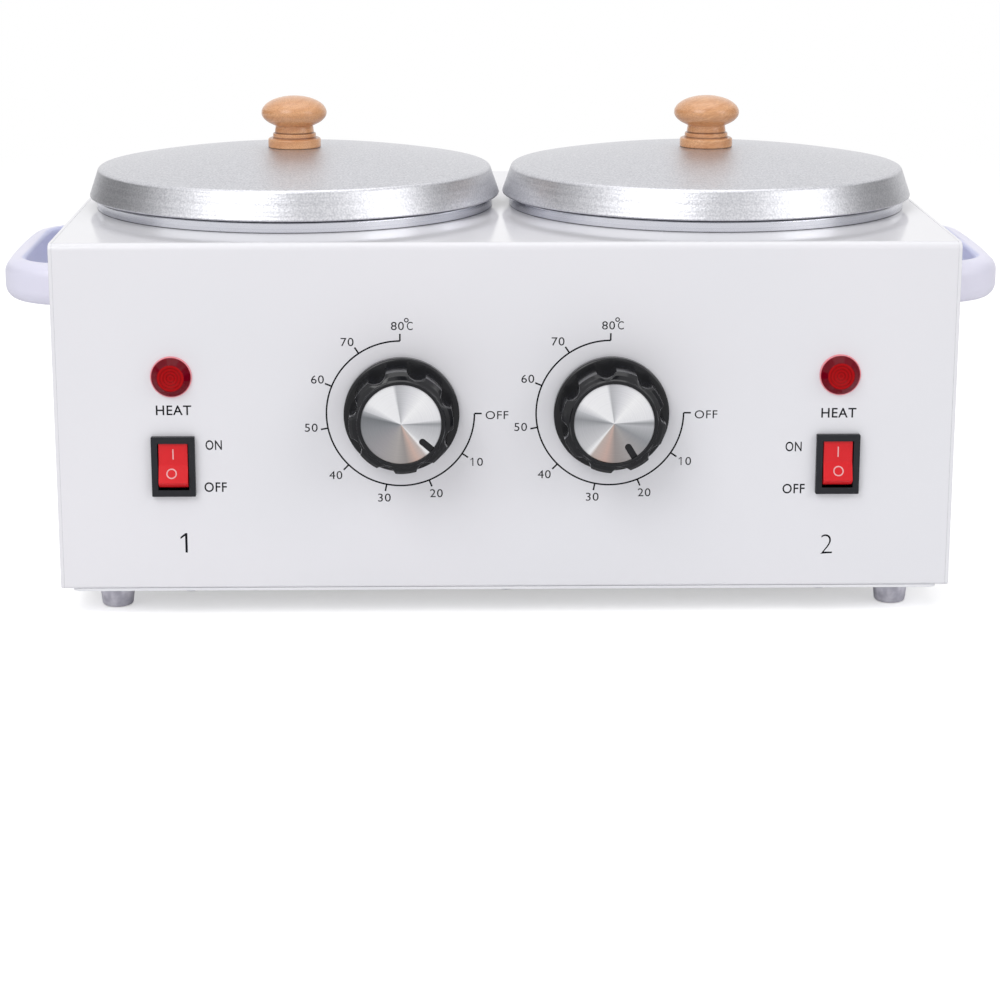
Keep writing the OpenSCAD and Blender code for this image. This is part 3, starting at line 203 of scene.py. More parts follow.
def rounded(corners: Sequence[Sequence[float]], steps: int = 6, closed: bool = True) -> list[Flat]:
    """Rounds the corners of an outline.

    Args:
        corners: The corners as (x, y) or, to be rounded, (x, y, radius).
        steps: How many edges each rounding gets.
        closed: Whether the last corner joins the first.

    Returns:
        The outline's points.
    """
    outline: list[Flat] = []
    for i, corner in enumerate(corners):
        here = Vector(corner[:2])
        radius = corner[2] if len(corner) > 2 else 0
        if radius <= 0 or (not closed and i in (0, len(corners) - 1)):
            outline.append((here.x, here.y))
            continue
        back = (Vector(corners[i - 1][:2]) - here).normalized()
        ahead = (Vector(corners[(i + 1) % len(corners)][:2]) - here).normalized()
        half = back.angle(ahead) / 2
        centre = here + (back + ahead).normalized() * (radius / math.sin(half))
        first = here + back * (radius / math.tan(half)) - centre
        last = here + ahead * (radius / math.tan(half)) - centre
        start = math.atan2(first.y, first.x)
        turn = (math.atan2(last.y, last.x) - start + math.pi) % math.tau - math.pi
        for k in range(steps + 1):
            angle = start + turn * k / steps
            outline.append((centre.x + radius * math.cos(angle), centre.y + radius * math.sin(angle)))
    return outline


def rectangle(width: float, height: float, radius: float = 0.0, steps: int = 6) -> list[Flat]:
    """The outline of a rectangle around the origin, with rounded corners if radius isn't 0."""
    x, y = width / 2, height / 2
    return rounded([(-x, -y, radius), (x, -y, radius), (x, y, radius), (-x, y, radius)], steps)


def arc(centre: Flat, radius: float, start: float, end: float, steps: int) -> list[Flat]:
    """Points along an arc.

    Args:
        centre: The arc's centre.
        radius: Its radius.
        start, end: The angles of its ends in degrees.
        steps: How many edges it gets.

    Returns:
        The points, both ends among them.
    """
    angles = [math.radians(start + (end - start) * i / steps) for i in range(steps + 1)]
    return [(centre[0] + radius * math.cos(a), centre[1] + radius * math.sin(a)) for a in angles]


class Shape:
    """A mesh in the making: its points in millimetres and its faces."""

    def __init__(self) -> None:
        """Starts with nothing."""
        self.points: list[Vector] = []
        self.faces: list[tuple[int, ...]] = []

    def loft(self, rings: Sequence[Sequence[Point]], closed: bool = False) -> "Shape":
        """Adds a skin over a row of rings, capped at both ends unless they close on each other.

        Args:
            rings: Rings of the same number of points. A ring of one point makes a tip.
            closed: Whether the last ring joins the first.

        Returns:
            The shape itself.
        """
        starts = []
        for ring in rings:
            starts.append(len(self.points))
            self.points += [Vector(point) for point in ring]
        for i in range(len(rings) if closed else len(rings) - 1):
            j = (i + 1) % len(rings)
            self._band(starts[i], len(rings[i]), starts[j], len(rings[j]))
        if not closed:
            for ring, start in ((rings[0], starts[0]), (rings[-1], starts[-1])):
                if len(ring) > 2:
                    self.faces.append(tuple(range(start, start + len(ring))))
        return self

    def _band(self, a: int, a_count: int, b: int, b_count: int) -> None:
        """Joins two rings.

        Args:
            a, b: The numbers of the rings' first points.
            a_count, b_count: How many points they have.
        """
        for i in range(max(a_count, b_count)):
            k = (i + 1) % max(a_count, b_count)
            if a_count == 1:
                self.faces.append((a, b + i, b + k))
            elif b_count == 1:
                self.faces.append((a + i, a + k, b))
            else:
                self.faces.append((a + i, a + k, b + k, b + i))

    def lathe(self, profile: Sequence[Flat], steps: int = 128, closed: bool = False) -> "Shape":
        """Adds a profile turned about z.

        Args:
            profile: Points as (radius, height).
            steps: How many sides the turned body gets.
            closed: Whether the profile joins up, as a ring's does.

        Returns:
            The shape itself.
        """
        rings: list[list[Point]] = []
        for radius, height in profile:
            turns = [math.tau * i / steps for i in range(steps if radius > 0 else 1)]
            rings.append([(radius * math.cos(t), radius * math.sin(t), height) for t in turns])
        return self.loft(rings, closed)

    def extrude(self, outline: Sequence[Flat], low: float, high: float) -> "Shape":
        """Adds an outline as a plate from height low to height high."""
        return self.loft([[(x, y, z) for x, y in outline] for z in (low, high)])

    def add(self, other: "Shape", place: Matrix) -> "Shape":
        """Adds a placed copy of another shape.

        Args:
            other: The shape to copy.
            place: From its frame to this shape's.

        Returns:
            The shape itself.
        """
        start = len(self.points)
        self.points += [place @ point for point in other.points]
        self.faces += [tuple(start + i for i in face) for face in other.faces]
        return self

    def mesh(self, name: str) -> bpy.types.Mesh:
        """Makes the Blender mesh in metres, with its faces turned outwards.

        Args:
            name: The mesh's name.

        Returns:
            The mesh.
        """
        mesh = bpy.data.meshes.new(name)
        mesh.from_pydata([point * MM for point in self.points], [], self.faces)
        return tidied(mesh)

    def build(self, name: str, place: Matrix | None = None, holes: "Shape | None" = None,
              soft: float = 0.0) -> bpy.types.Object:
        """Makes the Blender object, in metres and still without a finish.

        Args:
            name: The piece's name.
            place: From the shape's frame to the row frame, in millimetres.
            holes: What is cut out of it, in the shape's frame.
            soft: How wide its sharp edges are rounded off.

        Returns:
            The object.
        """
        piece = linked(name, self.mesh(name))
        if holes:
            tool = linked("holes", holes.mesh("holes"))
            cut = piece.modifiers.new("holes", "BOOLEAN")
            cut.object, cut.solver = tool, "EXACT"
            applied(piece)
            bpy.data.objects.remove(tool)
        if soft:
            bevel = piece.modifiers.new("edges", "BEVEL")
            bevel.width, bevel.segments = soft * MM, 2
            bevel.limit_method, bevel.angle_limit = "ANGLE", BEVEL_ANGLE
            bevel.miter_outer = "MITER_ARC"
            applied(piece)
        piece.data.shade_smooth()
        piece.data.set_sharp_from_angle(angle=CREASE_ANGLE)
        even = piece.modifiers.new("even_light", "WEIGHTED_NORMAL")
        even.keep_sharp = True
        if place:
            away = Matrix.Translation(place.translation * MM)
            piece.matrix_world = away @ place.to_3x3().to_4x4()
        return piece


def tidied(mesh: bpy.types.Mesh) -> bpy.types.Mesh:
    """Joins points that lie on each other, drops faces without area and turns the rest outwards.

    Args:
        mesh: The mesh, which is changed.

    Returns:
        The same mesh.
    """
    work = bmesh.new()
    work.from_mesh(mesh)
    bmesh.ops.remove_doubles(work, verts=work.verts, dist=1e-6)
    bmesh.ops.dissolve_degenerate(work, edges=work.edges, dist=1e-7)
    bmesh.ops.recalc_face_normals(work, faces=work.faces)
    work.to_mesh(mesh)
    work.free()
    return mesh


def linked(name: str, data: bpy.types.ID | None) -> bpy.types.Object:
    """Makes an object in the scene.

    Args:
        name: Its name.
        data: Its mesh, light or camera.

    Returns:
        The object.
    """
    made = bpy.data.objects.new(name, data)
    bpy.context.scene.collection.objects.link(made)
    return made


def evaluated(thing: bpy.types.Object) -> bpy.types.Mesh:
    """The mesh that an object has after its modifiers."""
    bpy.context.view_layer.update()
    return bpy.data.meshes.new_from_object(thing.evaluated_get(bpy.context.evaluated_depsgraph_get()))


def applied(piece: bpy.types.Object) -> None:
    """Makes an object's modifiers part of its mesh.

    Args:
        piece: The object.
    """
    mesh = evaluated(piece)
    piece.modifiers.clear()
    piece.data = tidied(mesh)


def lettering(text: str, width: float, height: float, centre: Flat, weight: float = 0.0) -> Shape:
    """Makes printed characters, a thin layer of ink on z = 0.

    Args:
        text: The characters.
        width, height: The size of the whole word.
        centre: Its middle.
        weight: How much the strokes' edges move out, as a share of the font's size.

    Returns:
        The shape.
    """
    curve = bpy.data.curves.new("lettering", "FONT")
    curve.body, curve.extrude, curve.offset = text, INK, weight
    curve.resolution_u, curve.space_character = 5, 1.08
    holder = linked("lettering", curve)
    mesh = evaluated(holder)
    places = [v.co for v in mesh.vertices]
    low = [min(p[k] for p in places) for k in (0, 1)]
    high = [max(p[k] for p in places) for k in (0, 1)]
    shape = Shape()
    for p in places:
        x = centre[0] + ((p[0] - low[0]) / (high[0] - low[0]) - 0.5) * width
        y = centre[1] + ((p[1] - low[1]) / (high[1] - low[1]) - 0.5) * height
        shape.points.append(Vector((x, y, p[2])))
    shape.faces = [tuple(face.vertices) for face in mesh.polygons]
    bpy.data.objects.remove(holder)
    return shape


def stroke(radius: float, width: float, start: float, end: float, steps: int = 96) -> Shape:
    """Makes a printed arc around the origin, or a ring if it goes all the way round.

    Args:
        radius: The radius of its middle line.
        width: Its width.
        start, end: The angles of its ends in degrees.
        steps: How many edges it gets.

    Returns:
        The shape.
    """
    section = rectangle(width, 2 * INK)
    whole = abs(end - start) >= 360
    angles = [math.radians(start + (end - start) * i / steps) for i in range(steps + (not whole))]
    rings = [[((radius + r) * math.cos(a), (radius + r) * math.sin(a), z) for r, z in section]
             for a in angles]
    return Shape().loft(rings, closed=whole)


# Finishes


class Graph:
    """A node tree, with short calls that add a node and wire it."""

    def __init__(self, tree: bpy.types.NodeTree) -> None:
        """Takes the tree that the nodes go into."""
        self.tree = tree

    def add(self, kind: str, wires: Wires | None = None, **settings: object) -> bpy.types.Node:
        """Adds a node.

        Args:
            kind: Its type without "ShaderNode".
            wires: What goes into its inputs: another node's output, or a number or colour.
            settings: Its properties.

        Returns:
            The node.
        """
        node = self.tree.nodes.new("ShaderNode" + kind)
        for key, value in settings.items():
            setattr(node, key, value)
        for key, value in (wires or {}).items():
            socket = node.inputs[key]
            if isinstance(value, bpy.types.NodeSocket):
                self.tree.links.new(value, socket)
            elif socket.type == "RGBA":
                socket.default_value = (*value[:3], 1)
            else:
                socket.default_value = value
        return node

    def join(self, source: bpy.types.NodeSocket, target: bpy.types.NodeSocket) -> None:
        """Wires an output to an input."""
        self.tree.links.new(source, target)

    def where(self) -> bpy.types.NodeSocket:
        """The place on the piece, in its own frame and in metres."""
        return self.add("TexCoord").outputs["Object"]

    def sum(self, operation: str, *values: object, clamp: bool = False) -> bpy.types.NodeSocket:
        """The result of a Math node."""
        wires = dict(enumerate(values))
        return self.add("Math", wires, operation=operation, use_clamp=clamp).outputs[0]

    def mix(self, share: object, a: object, b: object, blend: str = "MIX") -> bpy.types.NodeSocket:
        """A mix of two colours, from all a at 0 to all b at 1.

        Args:
            share: How much of b there is.
            a, b: The colours, as sockets or values.
            blend: How b is laid over a.

        Returns:
            The colour's socket.
        """
        node = self.add("Mix", {0: share}, data_type="RGBA", blend_type=blend)
        for key, value in ((6, a), (7, b)):
            if isinstance(value, bpy.types.NodeSocket):
                self.join(value, node.inputs[key])
            else:
                node.inputs[key].default_value = (*value[:3], 1)
        return node.outputs[2]

    def spread(self, value: object, low: float, high: float, to_low: object = 0.0,
               to_high: object = 1.0) -> bpy.types.NodeSocket:
        """Spreads a value that runs from low to high over another range, with soft ends."""
        wires = {0: value, 1: low, 2: high, 3: to_low, 4: to_high}
        return self.add("MapRange", wires, interpolation_type="SMOOTHSTEP").outputs[0]

    def noise(self, place: object, scale: object, detail: float = 2.0,
              rough: float = 0.5) -> bpy.types.NodeSocket:
        """Cloudy noise from 0 to 1 with a given number of cells per metre."""
        wires = {"Vector": place, "Scale": scale, "Detail": detail, "Roughness": rough}
        return self.add("TexNoise", wires).outputs[0]

    def ramp(self, value: object, stops: Sequence[tuple[float, Colour]]) -> bpy.types.NodeSocket:
        """A colour ramp.

        Args:
            value: Where on the ramp to read, from 0 to 1.
            stops: Places on the ramp and their colours, in rising order.

        Returns:
            The colour's socket.
        """
        node = self.add("ValToRGB", {0: value})
        ramp = node.color_ramp
        while len(ramp.elements) < len(stops):
            ramp.elements.new(1.0)
        for element, (at, colour) in zip(ramp.elements, stops, strict=True):
            element.position, element.color = at, (*colour, 1)
        return node.outputs[0]


def effect(name: str, inputs: dict[str, tuple[str, object]],
           outputs: dict[str, str]) -> tuple[Graph, bpy.types.Node, bpy.types.Node]:
    """Starts a node group.

    Args:
        name: Its name.
        inputs: The kind and first value of each input.
        outputs: The kind of each output.

    Returns:
        The group's graph, its input node and its output node.
    """
    tree = bpy.data.node_groups.new(name, "ShaderNodeTree")
    for label, (kind, value) in inputs.items():
        socket = tree.interface.new_socket(name=label, in_out="INPUT", socket_type="NodeSocket" + kind)
        socket.default_value = (*value, 1) if kind == "Color" else value
    for label, kind in outputs.items():
        tree.interface.new_socket(name=label, in_out="OUTPUT", socket_type="NodeSocket" + kind)
    return Graph(tree), tree.nodes.new("NodeGroupInput"), tree.nodes.new("NodeGroupOutput")


@cache
def grain() -> bpy.types.NodeTree:
    """The Grain effect: fine unevenness of a coat, a moulding or a blasted metal.

    Returns:
        The node group.
    """
    graph, given, out = effect(
        "Grain", {"Scale": ("Float", 900.0), "Stretch": ("Vector", (1, 1, 1))}, {"Height": "Float"})
    place = graph.add("VectorMath", {0: graph.where(), 1: given.outputs["Stretch"]},
                      operation="MULTIPLY").outputs[0]
    graph.join(graph.noise(place, given.outputs["Scale"], detail=3.0), out.inputs["Height"])
    return graph.tree


@cache
def drift() -> bpy.types.NodeTree:
    """The Drift effect: a colour that wanders a little towards a second one.

    Returns:
        The node group.
    """
    graph, given, out = effect(
        "Drift",
        {"Color": ("Color", (1, 1, 1)), "Shade": ("Color", (0, 0, 0)), "Amount": ("Float", 0.2),
         "Scale": ("Float", 20.0)},
        {"Color": "Color"})
    cloud = graph.noise(graph.where(), given.outputs["Scale"])
    share = graph.sum("MULTIPLY", graph.spread(cloud, 0.3, 0.7), given.outputs["Amount"])
    graph.join(graph.mix(share, given.outputs["Color"], given.outputs["Shade"]), out.inputs["Color"])
    return graph.tree


@cache
def handling() -> bpy.types.NodeTree:
    """The Handling effect: faint smudges that make a surface duller here and there.

    Returns:
        The node group.
    """
    graph, given, out = effect(
        "Handling",
        {"Roughness": ("Float", 0.3), "Smudge": ("Float", 0.08), "Scale": ("Float", 35.0)},
        {"Roughness": "Float"})
    cloud = graph.noise(graph.where(), given.outputs["Scale"], detail=4.0, rough=0.6)
    more = graph.sum("MULTIPLY", graph.spread(cloud, 0.35, 0.75), given.outputs["Smudge"])
    graph.join(graph.sum("ADD", given.outputs["Roughness"], more), out.inputs["Roughness"])
    return graph.tree


@cache
def turning() -> bpy.types.NodeTree:
    """The Turning effect: radius, angle and tool lines around a piece's own z axis.

    Returns:
        The node group.
    """
    graph, given, out = effect(
        "Turning", {"Lines": ("Float", 2500.0)},
        {"Radius": "Float", "Angle": "Float", "Lines": "Float"})
    parts = graph.add("SeparateXYZ", {0: graph.where()}).outputs
    square = graph.sum("ADD", graph.sum("MULTIPLY", parts[0], parts[0]),
                       graph.sum("MULTIPLY", parts[1], parts[1]))
    radius = graph.sum("SQRT", square)
    line = graph.add("TexNoise", {"W": graph.sum("ADD", radius, graph.sum("MULTIPLY", parts[2], 0.6)),
                                  "Scale": given.outputs["Lines"], "Detail": 3.0},
                     noise_dimensions="1D").outputs[0]
    graph.join(radius, out.inputs["Radius"])
    graph.join(graph.sum("ARCTAN2", parts[1], parts[0]), out.inputs["Angle"])
    graph.join(line, out.inputs["Lines"])
    return graph.tree


@cache
def seam() -> bpy.types.NodeTree:
    """The painted shade line effect: a dark line painted at one height, for the shade in a groove, under
    an edge or where two parts meet.

    Returns:
        The node group.
    """
    graph, given, out = effect(
        "Seam",
        {"Color": ("Color", (1, 1, 1)), "Line": ("Color", (0, 0, 0)), "Height": ("Float", 0.0),
         "Width": ("Float", 0.0005), "Strength": ("Float", 0.7)},
        {"Color": "Color"})
    height = graph.add("SeparateXYZ", {0: graph.where()}).outputs[2]
    off = graph.sum("ABSOLUTE", graph.sum("SUBTRACT", height, given.outputs["Height"]))
    share = graph.spread(off, 0.0, given.outputs["Width"], given.outputs["Strength"], 0.0)
    graph.join(graph.mix(share, given.outputs["Color"], given.outputs["Line"]), out.inputs["Color"])
    return graph.tree


@dataclass(frozen=True)
class Finish:
    """A surface finish: the constants of its shader, and what varies over the surface.

    The varied part is a colour that drifts towards shade, smudged roughness and a grain bump.
    """

    name: str
    colour: Colour
    shade: Colour
    rough: float = 0.4
    metal: float = 0.0
    coat: float = 0.0
    coat_rough: float = 0.1
    specular: float = 0.5
    anisotropy: float = 0.0
    amount: float = 0.3
    drift_scale: float = 25.0
    smudge: float = 0.06
    grain_scale: float = 1200.0
    bump: float = 0.1
    bump_depth: float = 0.05

    def material(self) -> bpy.types.Material:
        """Finds the finish's material, or makes it at the first call.

        Returns:
            The material.
        """
        found = bpy.data.materials.get(self.name)
        if found:
            return found
        material = bpy.data.materials.new(self.name)
        material.use_nodes = True
        material.node_tree.nodes.clear()
        material.diffuse_color = (*self.colour, 1)
        graph = Graph(material.node_tree)
        shader = graph.add("BsdfPrincipled", {
            "Metallic": self.metal, "Coat Weight": self.coat, "Coat Roughness": self.coat_rough,
            "Specular IOR Level": self.specular, "Anisotropic": self.anisotropy})
        graph.join(shader.outputs[0], graph.add("OutputMaterial").inputs[0])
        graph.join(self.tint(graph), shader.inputs["Base Color"])
        graph.join(self.dullness(graph), shader.inputs["Roughness"])
        bump = graph.add("Bump", {"Strength": self.bump, "Distance": self.bump_depth * MM,
                                  "Height": self.relief(graph)})
        graph.join(bump.outputs[0], shader.inputs["Normal"])
        self.extra(graph, shader)
        return material

    def dress(self, piece: bpy.types.Object) -> None:
        """Gives a piece this finish and no other."""
        piece.data.materials.clear()
        piece.data.materials.append(self.material())

    def tint(self, graph: Graph) -> bpy.types.NodeSocket:
        """The colour over the surface."""
        return graph.add("Group", {"Color": self.colour, "Shade": self.shade, "Amount": self.amount,
                                   "Scale": self.drift_scale}, node_tree=drift()).outputs[0]

    def dullness(self, graph: Graph) -> bpy.types.NodeSocket:
        """The roughness over the surface."""
        return graph.add("Group", {"Roughness": self.rough, "Smudge": self.smudge},
                         node_tree=handling()).outputs[0]

    def relief(self, graph: Graph) -> bpy.types.NodeSocket:
        """The height of the fine relief over the surface."""
        return graph.add("Group", {"Scale": self.grain_scale}, node_tree=grain()).outputs[0]

    def extra(self, graph: Graph, shader: bpy.types.Node) -> None:
        """Whatever else a finish needs."""


@dataclass(frozen=True)
class Spun(Finish):
    """Metal spun or turned about the piece's z axis, with fine tool lines and lines of painted shade at
    given heights.
    """

    lines: float = 2500.0
    line_share: float = 0.4
    line_edges: Flat = (0.35, 0.65)
    # Lines of painted shade: each height and width in millimetres, with their colour and strength.
    seams: tuple[tuple[float, float], ...] = ()
    dirt: Colour = (0.012, 0.012, 0.015)
    dirt_share: float = 0.95
    grain_share: float = 0.6

    def tint(self, graph: Graph) -> bpy.types.NodeSocket:
        """The drifting colour with lighter and darker tool lines, and lines of painted shade at the given
        heights.

        Args:
            graph: The material's graph.

        Returns:
            The colour's socket.
        """
        base = Finish.tint(self, graph)
        line = graph.add("Group", {"Lines": self.lines}, node_tree=turning()).outputs["Lines"]
        share = graph.spread(line, *self.line_edges, 0.0, self.line_share)
        colour = graph.mix(share, base, self.shade)
        for height, width in self.seams:
            wires = {"Color": colour, "Line": self.dirt, "Height": height * MM, "Width": width * MM,
                     "Strength": self.dirt_share}
            colour = graph.add("Group", wires, node_tree=seam()).outputs[0]
        return colour

    def relief(self, graph: Graph) -> bpy.types.NodeSocket:
        """Tool lines with a fine grain over them.

        Args:
            graph: The material's graph.

        Returns:
            The height's socket.
        """
        line = graph.add("Group", {"Lines": self.lines}, node_tree=turning()).outputs["Lines"]
        fine = graph.sum("MULTIPLY", Finish.relief(self, graph), self.grain_share)
        return graph.sum("ADD", line, fine)

    def extra(self, graph: Graph, shader: bpy.types.Node) -> None:
        """Lets highlights run across the tool lines.

        Args:
            graph: The material's graph.
            shader: Its shader node.
        """
        if self.anisotropy:
            graph.join(graph.add("Tangent", direction_type="RADIAL", axis="Z").outputs[0],
                       shader.inputs["Tangent"])


@dataclass(frozen=True)
class BrushedWithPaintedSheen(Spun):
    """Metal brushed in circles, with painted highlight and shade in sectors around the middle.

    The painted sectors are (angle in degrees, colour), in rising order over less than a full turn.
    """

    painted_sheen_fans: tuple[tuple[float, Colour], ...] = ()
    line_edges: Flat = (0.3, 0.7)

    def tint(self, graph: Graph) -> bpy.types.NodeSocket:
        """Sectors of painted highlight and shade around the middle, under the tool lines.

        Args:
            graph: The material's graph.

        Returns:
            The colour's socket.
        """
        turned = graph.add("Group", {"Lines": self.lines}, node_tree=turning()).outputs
        lean = self.painted_sheen_fans[0][0]
        turn = graph.sum("SUBTRACT", graph.sum("DIVIDE", turned["Angle"], math.tau), lean / 360)
        share = graph.sum("FRACT", graph.sum("ADD", turn, 2.0))
        stops = [((angle - lean) / 360, colour) for angle, colour in self.painted_sheen_fans]
        # Painted highlight and shade: a ramp of colours by the angle around the middle.
        painted_fan = graph.ramp(share, [*stops, (1.0, self.painted_sheen_fans[0][1])])
        line = graph.spread(turned["Lines"], *self.line_edges, 0.0, self.line_share)
        return graph.mix(line, painted_fan, graph.mix(1.0, painted_fan, self.shade, "MULTIPLY"))


@dataclass(frozen=True)
class Beech(Finish):
    """Oiled beech, turned about z, with growth rings that lie across it.

    Grooves are in millimetres. The heart of the tree and the wander of its rings are in metres,
    the lean in radians and the scales in cells per metre.
    """

    late: Colour = (0.4, 0.2, 0.1)
    # The colour of the painted shade lines in the grooves and under the foot.
    burn: Colour = (0.1, 0.04, 0.01)
    grooves: tuple[float, ...] = ()
    groove_w: float = 0.45
    heart: Point = (0.0, 0.011, -0.034)
    lean: Point = (0.25, 0.12, 0.5)
    wander: float = 0.0045
    wander_scale: float = 60.0
    ring_scale: float = 420.0
    ring_edges: Flat = (0.35, 0.68)
    ring_share: float = 0.55
    fibre_scale: float = 2600.0
    fibre_stretch: Point = (0.12, 1, 1)
    fibre_edges: Flat = (0.35, 0.7)
    fibre_share: float = 0.55

    def figure(self, graph: Graph) -> tuple[bpy.types.NodeSocket, bpy.types.NodeSocket]:
        """Finds the wood's figure.

        Args:
            graph: The graph that the nodes go into.

        Returns:
            The growth rings and the fine fibres, each from 0 to 1.
        """
        lie = graph.add("Mapping", {"Vector": graph.where(), "Location": self.heart,
                                    "Rotation": self.lean}).outputs[0]
        wander = graph.noise(lie, self.wander_scale)
        parts = graph.add("SeparateXYZ", {0: lie}).outputs
        square = graph.sum("ADD", graph.sum("MULTIPLY", parts[1], parts[1]),
                           graph.sum("MULTIPLY", parts[2], parts[2]))
        reach = graph.sum("ADD", graph.sum("SQRT", square),
                          graph.sum("MULTIPLY", wander, self.wander))
        rings = graph.add("TexNoise", {"W": reach, "Scale": self.ring_scale, "Detail": 2.0},
                          noise_dimensions="1D").outputs[0]
        along = graph.add("VectorMath", {0: lie, 1: self.fibre_stretch},
                          operation="MULTIPLY").outputs[0]
        fibres = graph.noise(along, self.fibre_scale, detail=3.0)
        return graph.spread(rings, *self.ring_edges), graph.spread(fibres, *self.fibre_edges)

    def tint(self, graph: Graph) -> bpy.types.NodeSocket:
        """Growth rings, fibres, and lines of painted shade in the turned grooves and under the foot.

        Args:
            graph: The material's graph.

        Returns:
            The colour's socket.
        """
        rings, fibres = self.figure(graph)
        wood = graph.mix(graph.sum("MULTIPLY", rings, self.ring_share), self.colour, self.late)
        wood = graph.mix(graph.sum("MULTIPLY", fibres, self.fibre_share), wood, self.shade)
        for groove in self.grooves:
            wires = {"Color": wood, "Line": self.burn, "Height": groove * MM,
                     "Width": self.groove_w * MM}
            wood = graph.add("Group", wires, node_tree=seam()).outputs[0]
        return wood

    def relief(self, graph: Graph) -> bpy.types.NodeSocket:
        """Open fibres."""
        return self.figure(graph)[1]


@dataclass(frozen=True)
class LoopPlasticWithPaintedShade(Finish):
    """Plastic of a loop handle, with painted shade on the side that faces the casing.

    The loop's inner side is found by its distance from a straight line beside the casing.
    """

    # The colour of the painted shade on the loop's inner side.
    deep: Colour = (0.6, 0.6, 0.8)
    line_x: float = HALF_W + 0.8
    line_y: Flat = (MID_Y, 29.85)
    inner: Flat = (17.1, 18.4)
    arm: Flat = (3.0, 13.0)
    arm_shade_share: float = 0.3

    def tint(self, graph: Graph) -> bpy.types.NodeSocket:
        """The drifting colour, with painted shade on the inner side.

        Args:
            graph: The material's graph.

        Returns:
            The colour's socket.
        """
        parts = graph.add("SeparateXYZ", {0: graph.where()}).outputs
        mid, half = self.line_y
        out = graph.sum("MAXIMUM", graph.sum(
            "SUBTRACT", graph.sum("ABSOLUTE", parts[0]), self.line_x * MM), 0.0)
        along = graph.sum("ABSOLUTE", graph.sum("SUBTRACT", parts[1], mid * MM))
        past = graph.sum("MAXIMUM", graph.sum("SUBTRACT", along, half * MM), 0.0)
        square = graph.sum("ADD", graph.sum("MULTIPLY", out, out), graph.sum("MULTIPLY", past, past))
        # Painted shade on the loop's inner side, weaker along the arms near the casing.
        inside = graph.spread(graph.sum("SQRT", square), self.inner[0] * MM, self.inner[1] * MM, 1.0, 0.0)
        away = graph.spread(out, self.arm[0] * MM, self.arm[1] * MM, self.arm_shade_share)
        share = graph.sum("MULTIPLY", inside, away)
        return graph.mix(share, Finish.tint(self, graph), self.deep)


@dataclass(frozen=True)
class LampGlass(Finish):
    """Red moulded lens, with painted light in its colour: a painted highlight round its outer edge,
    painted shade on the slope and rings of painted shade on the face.

    Lengths are in millimetres, but the reach of light in the lens is in metres.
    """

    # Painted shade on the slope, and a painted highlight round the outer edge.
    slope: Colour = (0.2, 0.0, 0.01)
    rim: Colour = (0.8, 0.5, 0.5)
    face_r: float = 4.9
    face_blend: Flat = (0.1, 0.15)
    rim_r: float = 6.85
    rim_blend: float = 0.2
    # The rings of painted shade on the face: their pitch and strength.
    step: float = 1.1
    ring_shade_share: float = 0.4
    scatter: float = 0.25
    scatter_by_colour: Point = (1.0, 0.15, 0.1)
    scatter_reach: float = 0.002

    def tint(self, graph: Graph) -> bpy.types.NodeSocket:
        """Paints the lens by the distance from its axis: rings of painted shade on the face, painted
        shade on the slope and a painted highlight round the outer edge.

        Args:
            graph: The material's graph.

        Returns:
            The colour's socket.
        """
        radius = graph.add("Group", node_tree=turning()).outputs["Radius"]
        wave = graph.sum("SINE", graph.sum("MULTIPLY", radius, math.tau / (self.step * MM)))
        shade_rings = graph.spread(wave, -1.0, 1.0, 0.0, self.ring_shade_share)
        face = graph.mix(shade_rings, self.colour, self.shade)
        before, after = self.face_blend
        slope_shading = graph.spread(radius, (self.face_r - before) * MM, (self.face_r + after) * MM)
        body = graph.mix(slope_shading, face, self.slope)
        rim_highlit = graph.spread(radius, (self.rim_r - self.rim_blend) * MM, self.rim_r * MM)
        return graph.mix(rim_highlit, body, self.rim)

    def extra(self, graph: Graph, shader: bpy.types.Node) -> None:
        """Lets light into the lens.

        Args:
            graph: The material's graph.
            shader: Its shader node.
        """
        shader.inputs["Subsurface Weight"].default_value = self.scatter
        shader.inputs["Subsurface Radius"].default_value = self.scatter_by_colour
        shader.inputs["Subsurface Scale"].default_value = self.scatter_reach


@dataclass(frozen=True)
class FloorPaint(Finish):
    """Pale floor that fades away with distance, lifted for the camera and dimmer in mirrors."""

    fade: Flat = (0.45, 1.3)
    lift: float = 0.45
    mirrored: float = 0.65

    def tint(self, graph: Graph) -> bpy.types.NodeSocket:
        """The floor's colour, and a darker one where something glossy mirrors it."""
        rays = graph.add("LightPath").outputs
        return graph.mix(rays["Is Glossy Ray"], self.colour, (self.mirrored,) * 3)

    def extra(self, graph: Graph, shader: bpy.types.Node) -> None:
        """Fades the floor out and lifts it for the camera.

        Args:
            graph: The material's graph.
            shader: Its shader node.
        """
        radius = graph.add("Group", node_tree=turning()).outputs["Radius"]
        graph.join(graph.spread(radius, *self.fade, 1.0, 0.0), shader.inputs["Alpha"])
        rays = graph.add("LightPath").outputs
        graph.join(graph.sum("MULTIPLY", rays["Is Camera Ray"], self.lift),
                   shader.inputs["Emission Strength"])
        shader.inputs["Emission Color"].default_value = (1, 1, 1, 1)


ENAMEL = Finish("white_enamel", srgb(237, 236, 241), srgb(231, 232, 237), rough=0.09, specular=0.5,
                amount=0.5, drift_scale=9, smudge=0.03, grain_scale=900, bump=0.04, bump_depth=0.03)
BASE_ENAMEL = Finish("base_enamel", srgb(238, 238, 242), srgb(228, 229, 235), rough=0.3, amount=0.4,
                     grain_scale=900, bump=0.06, bump_depth=0.03)
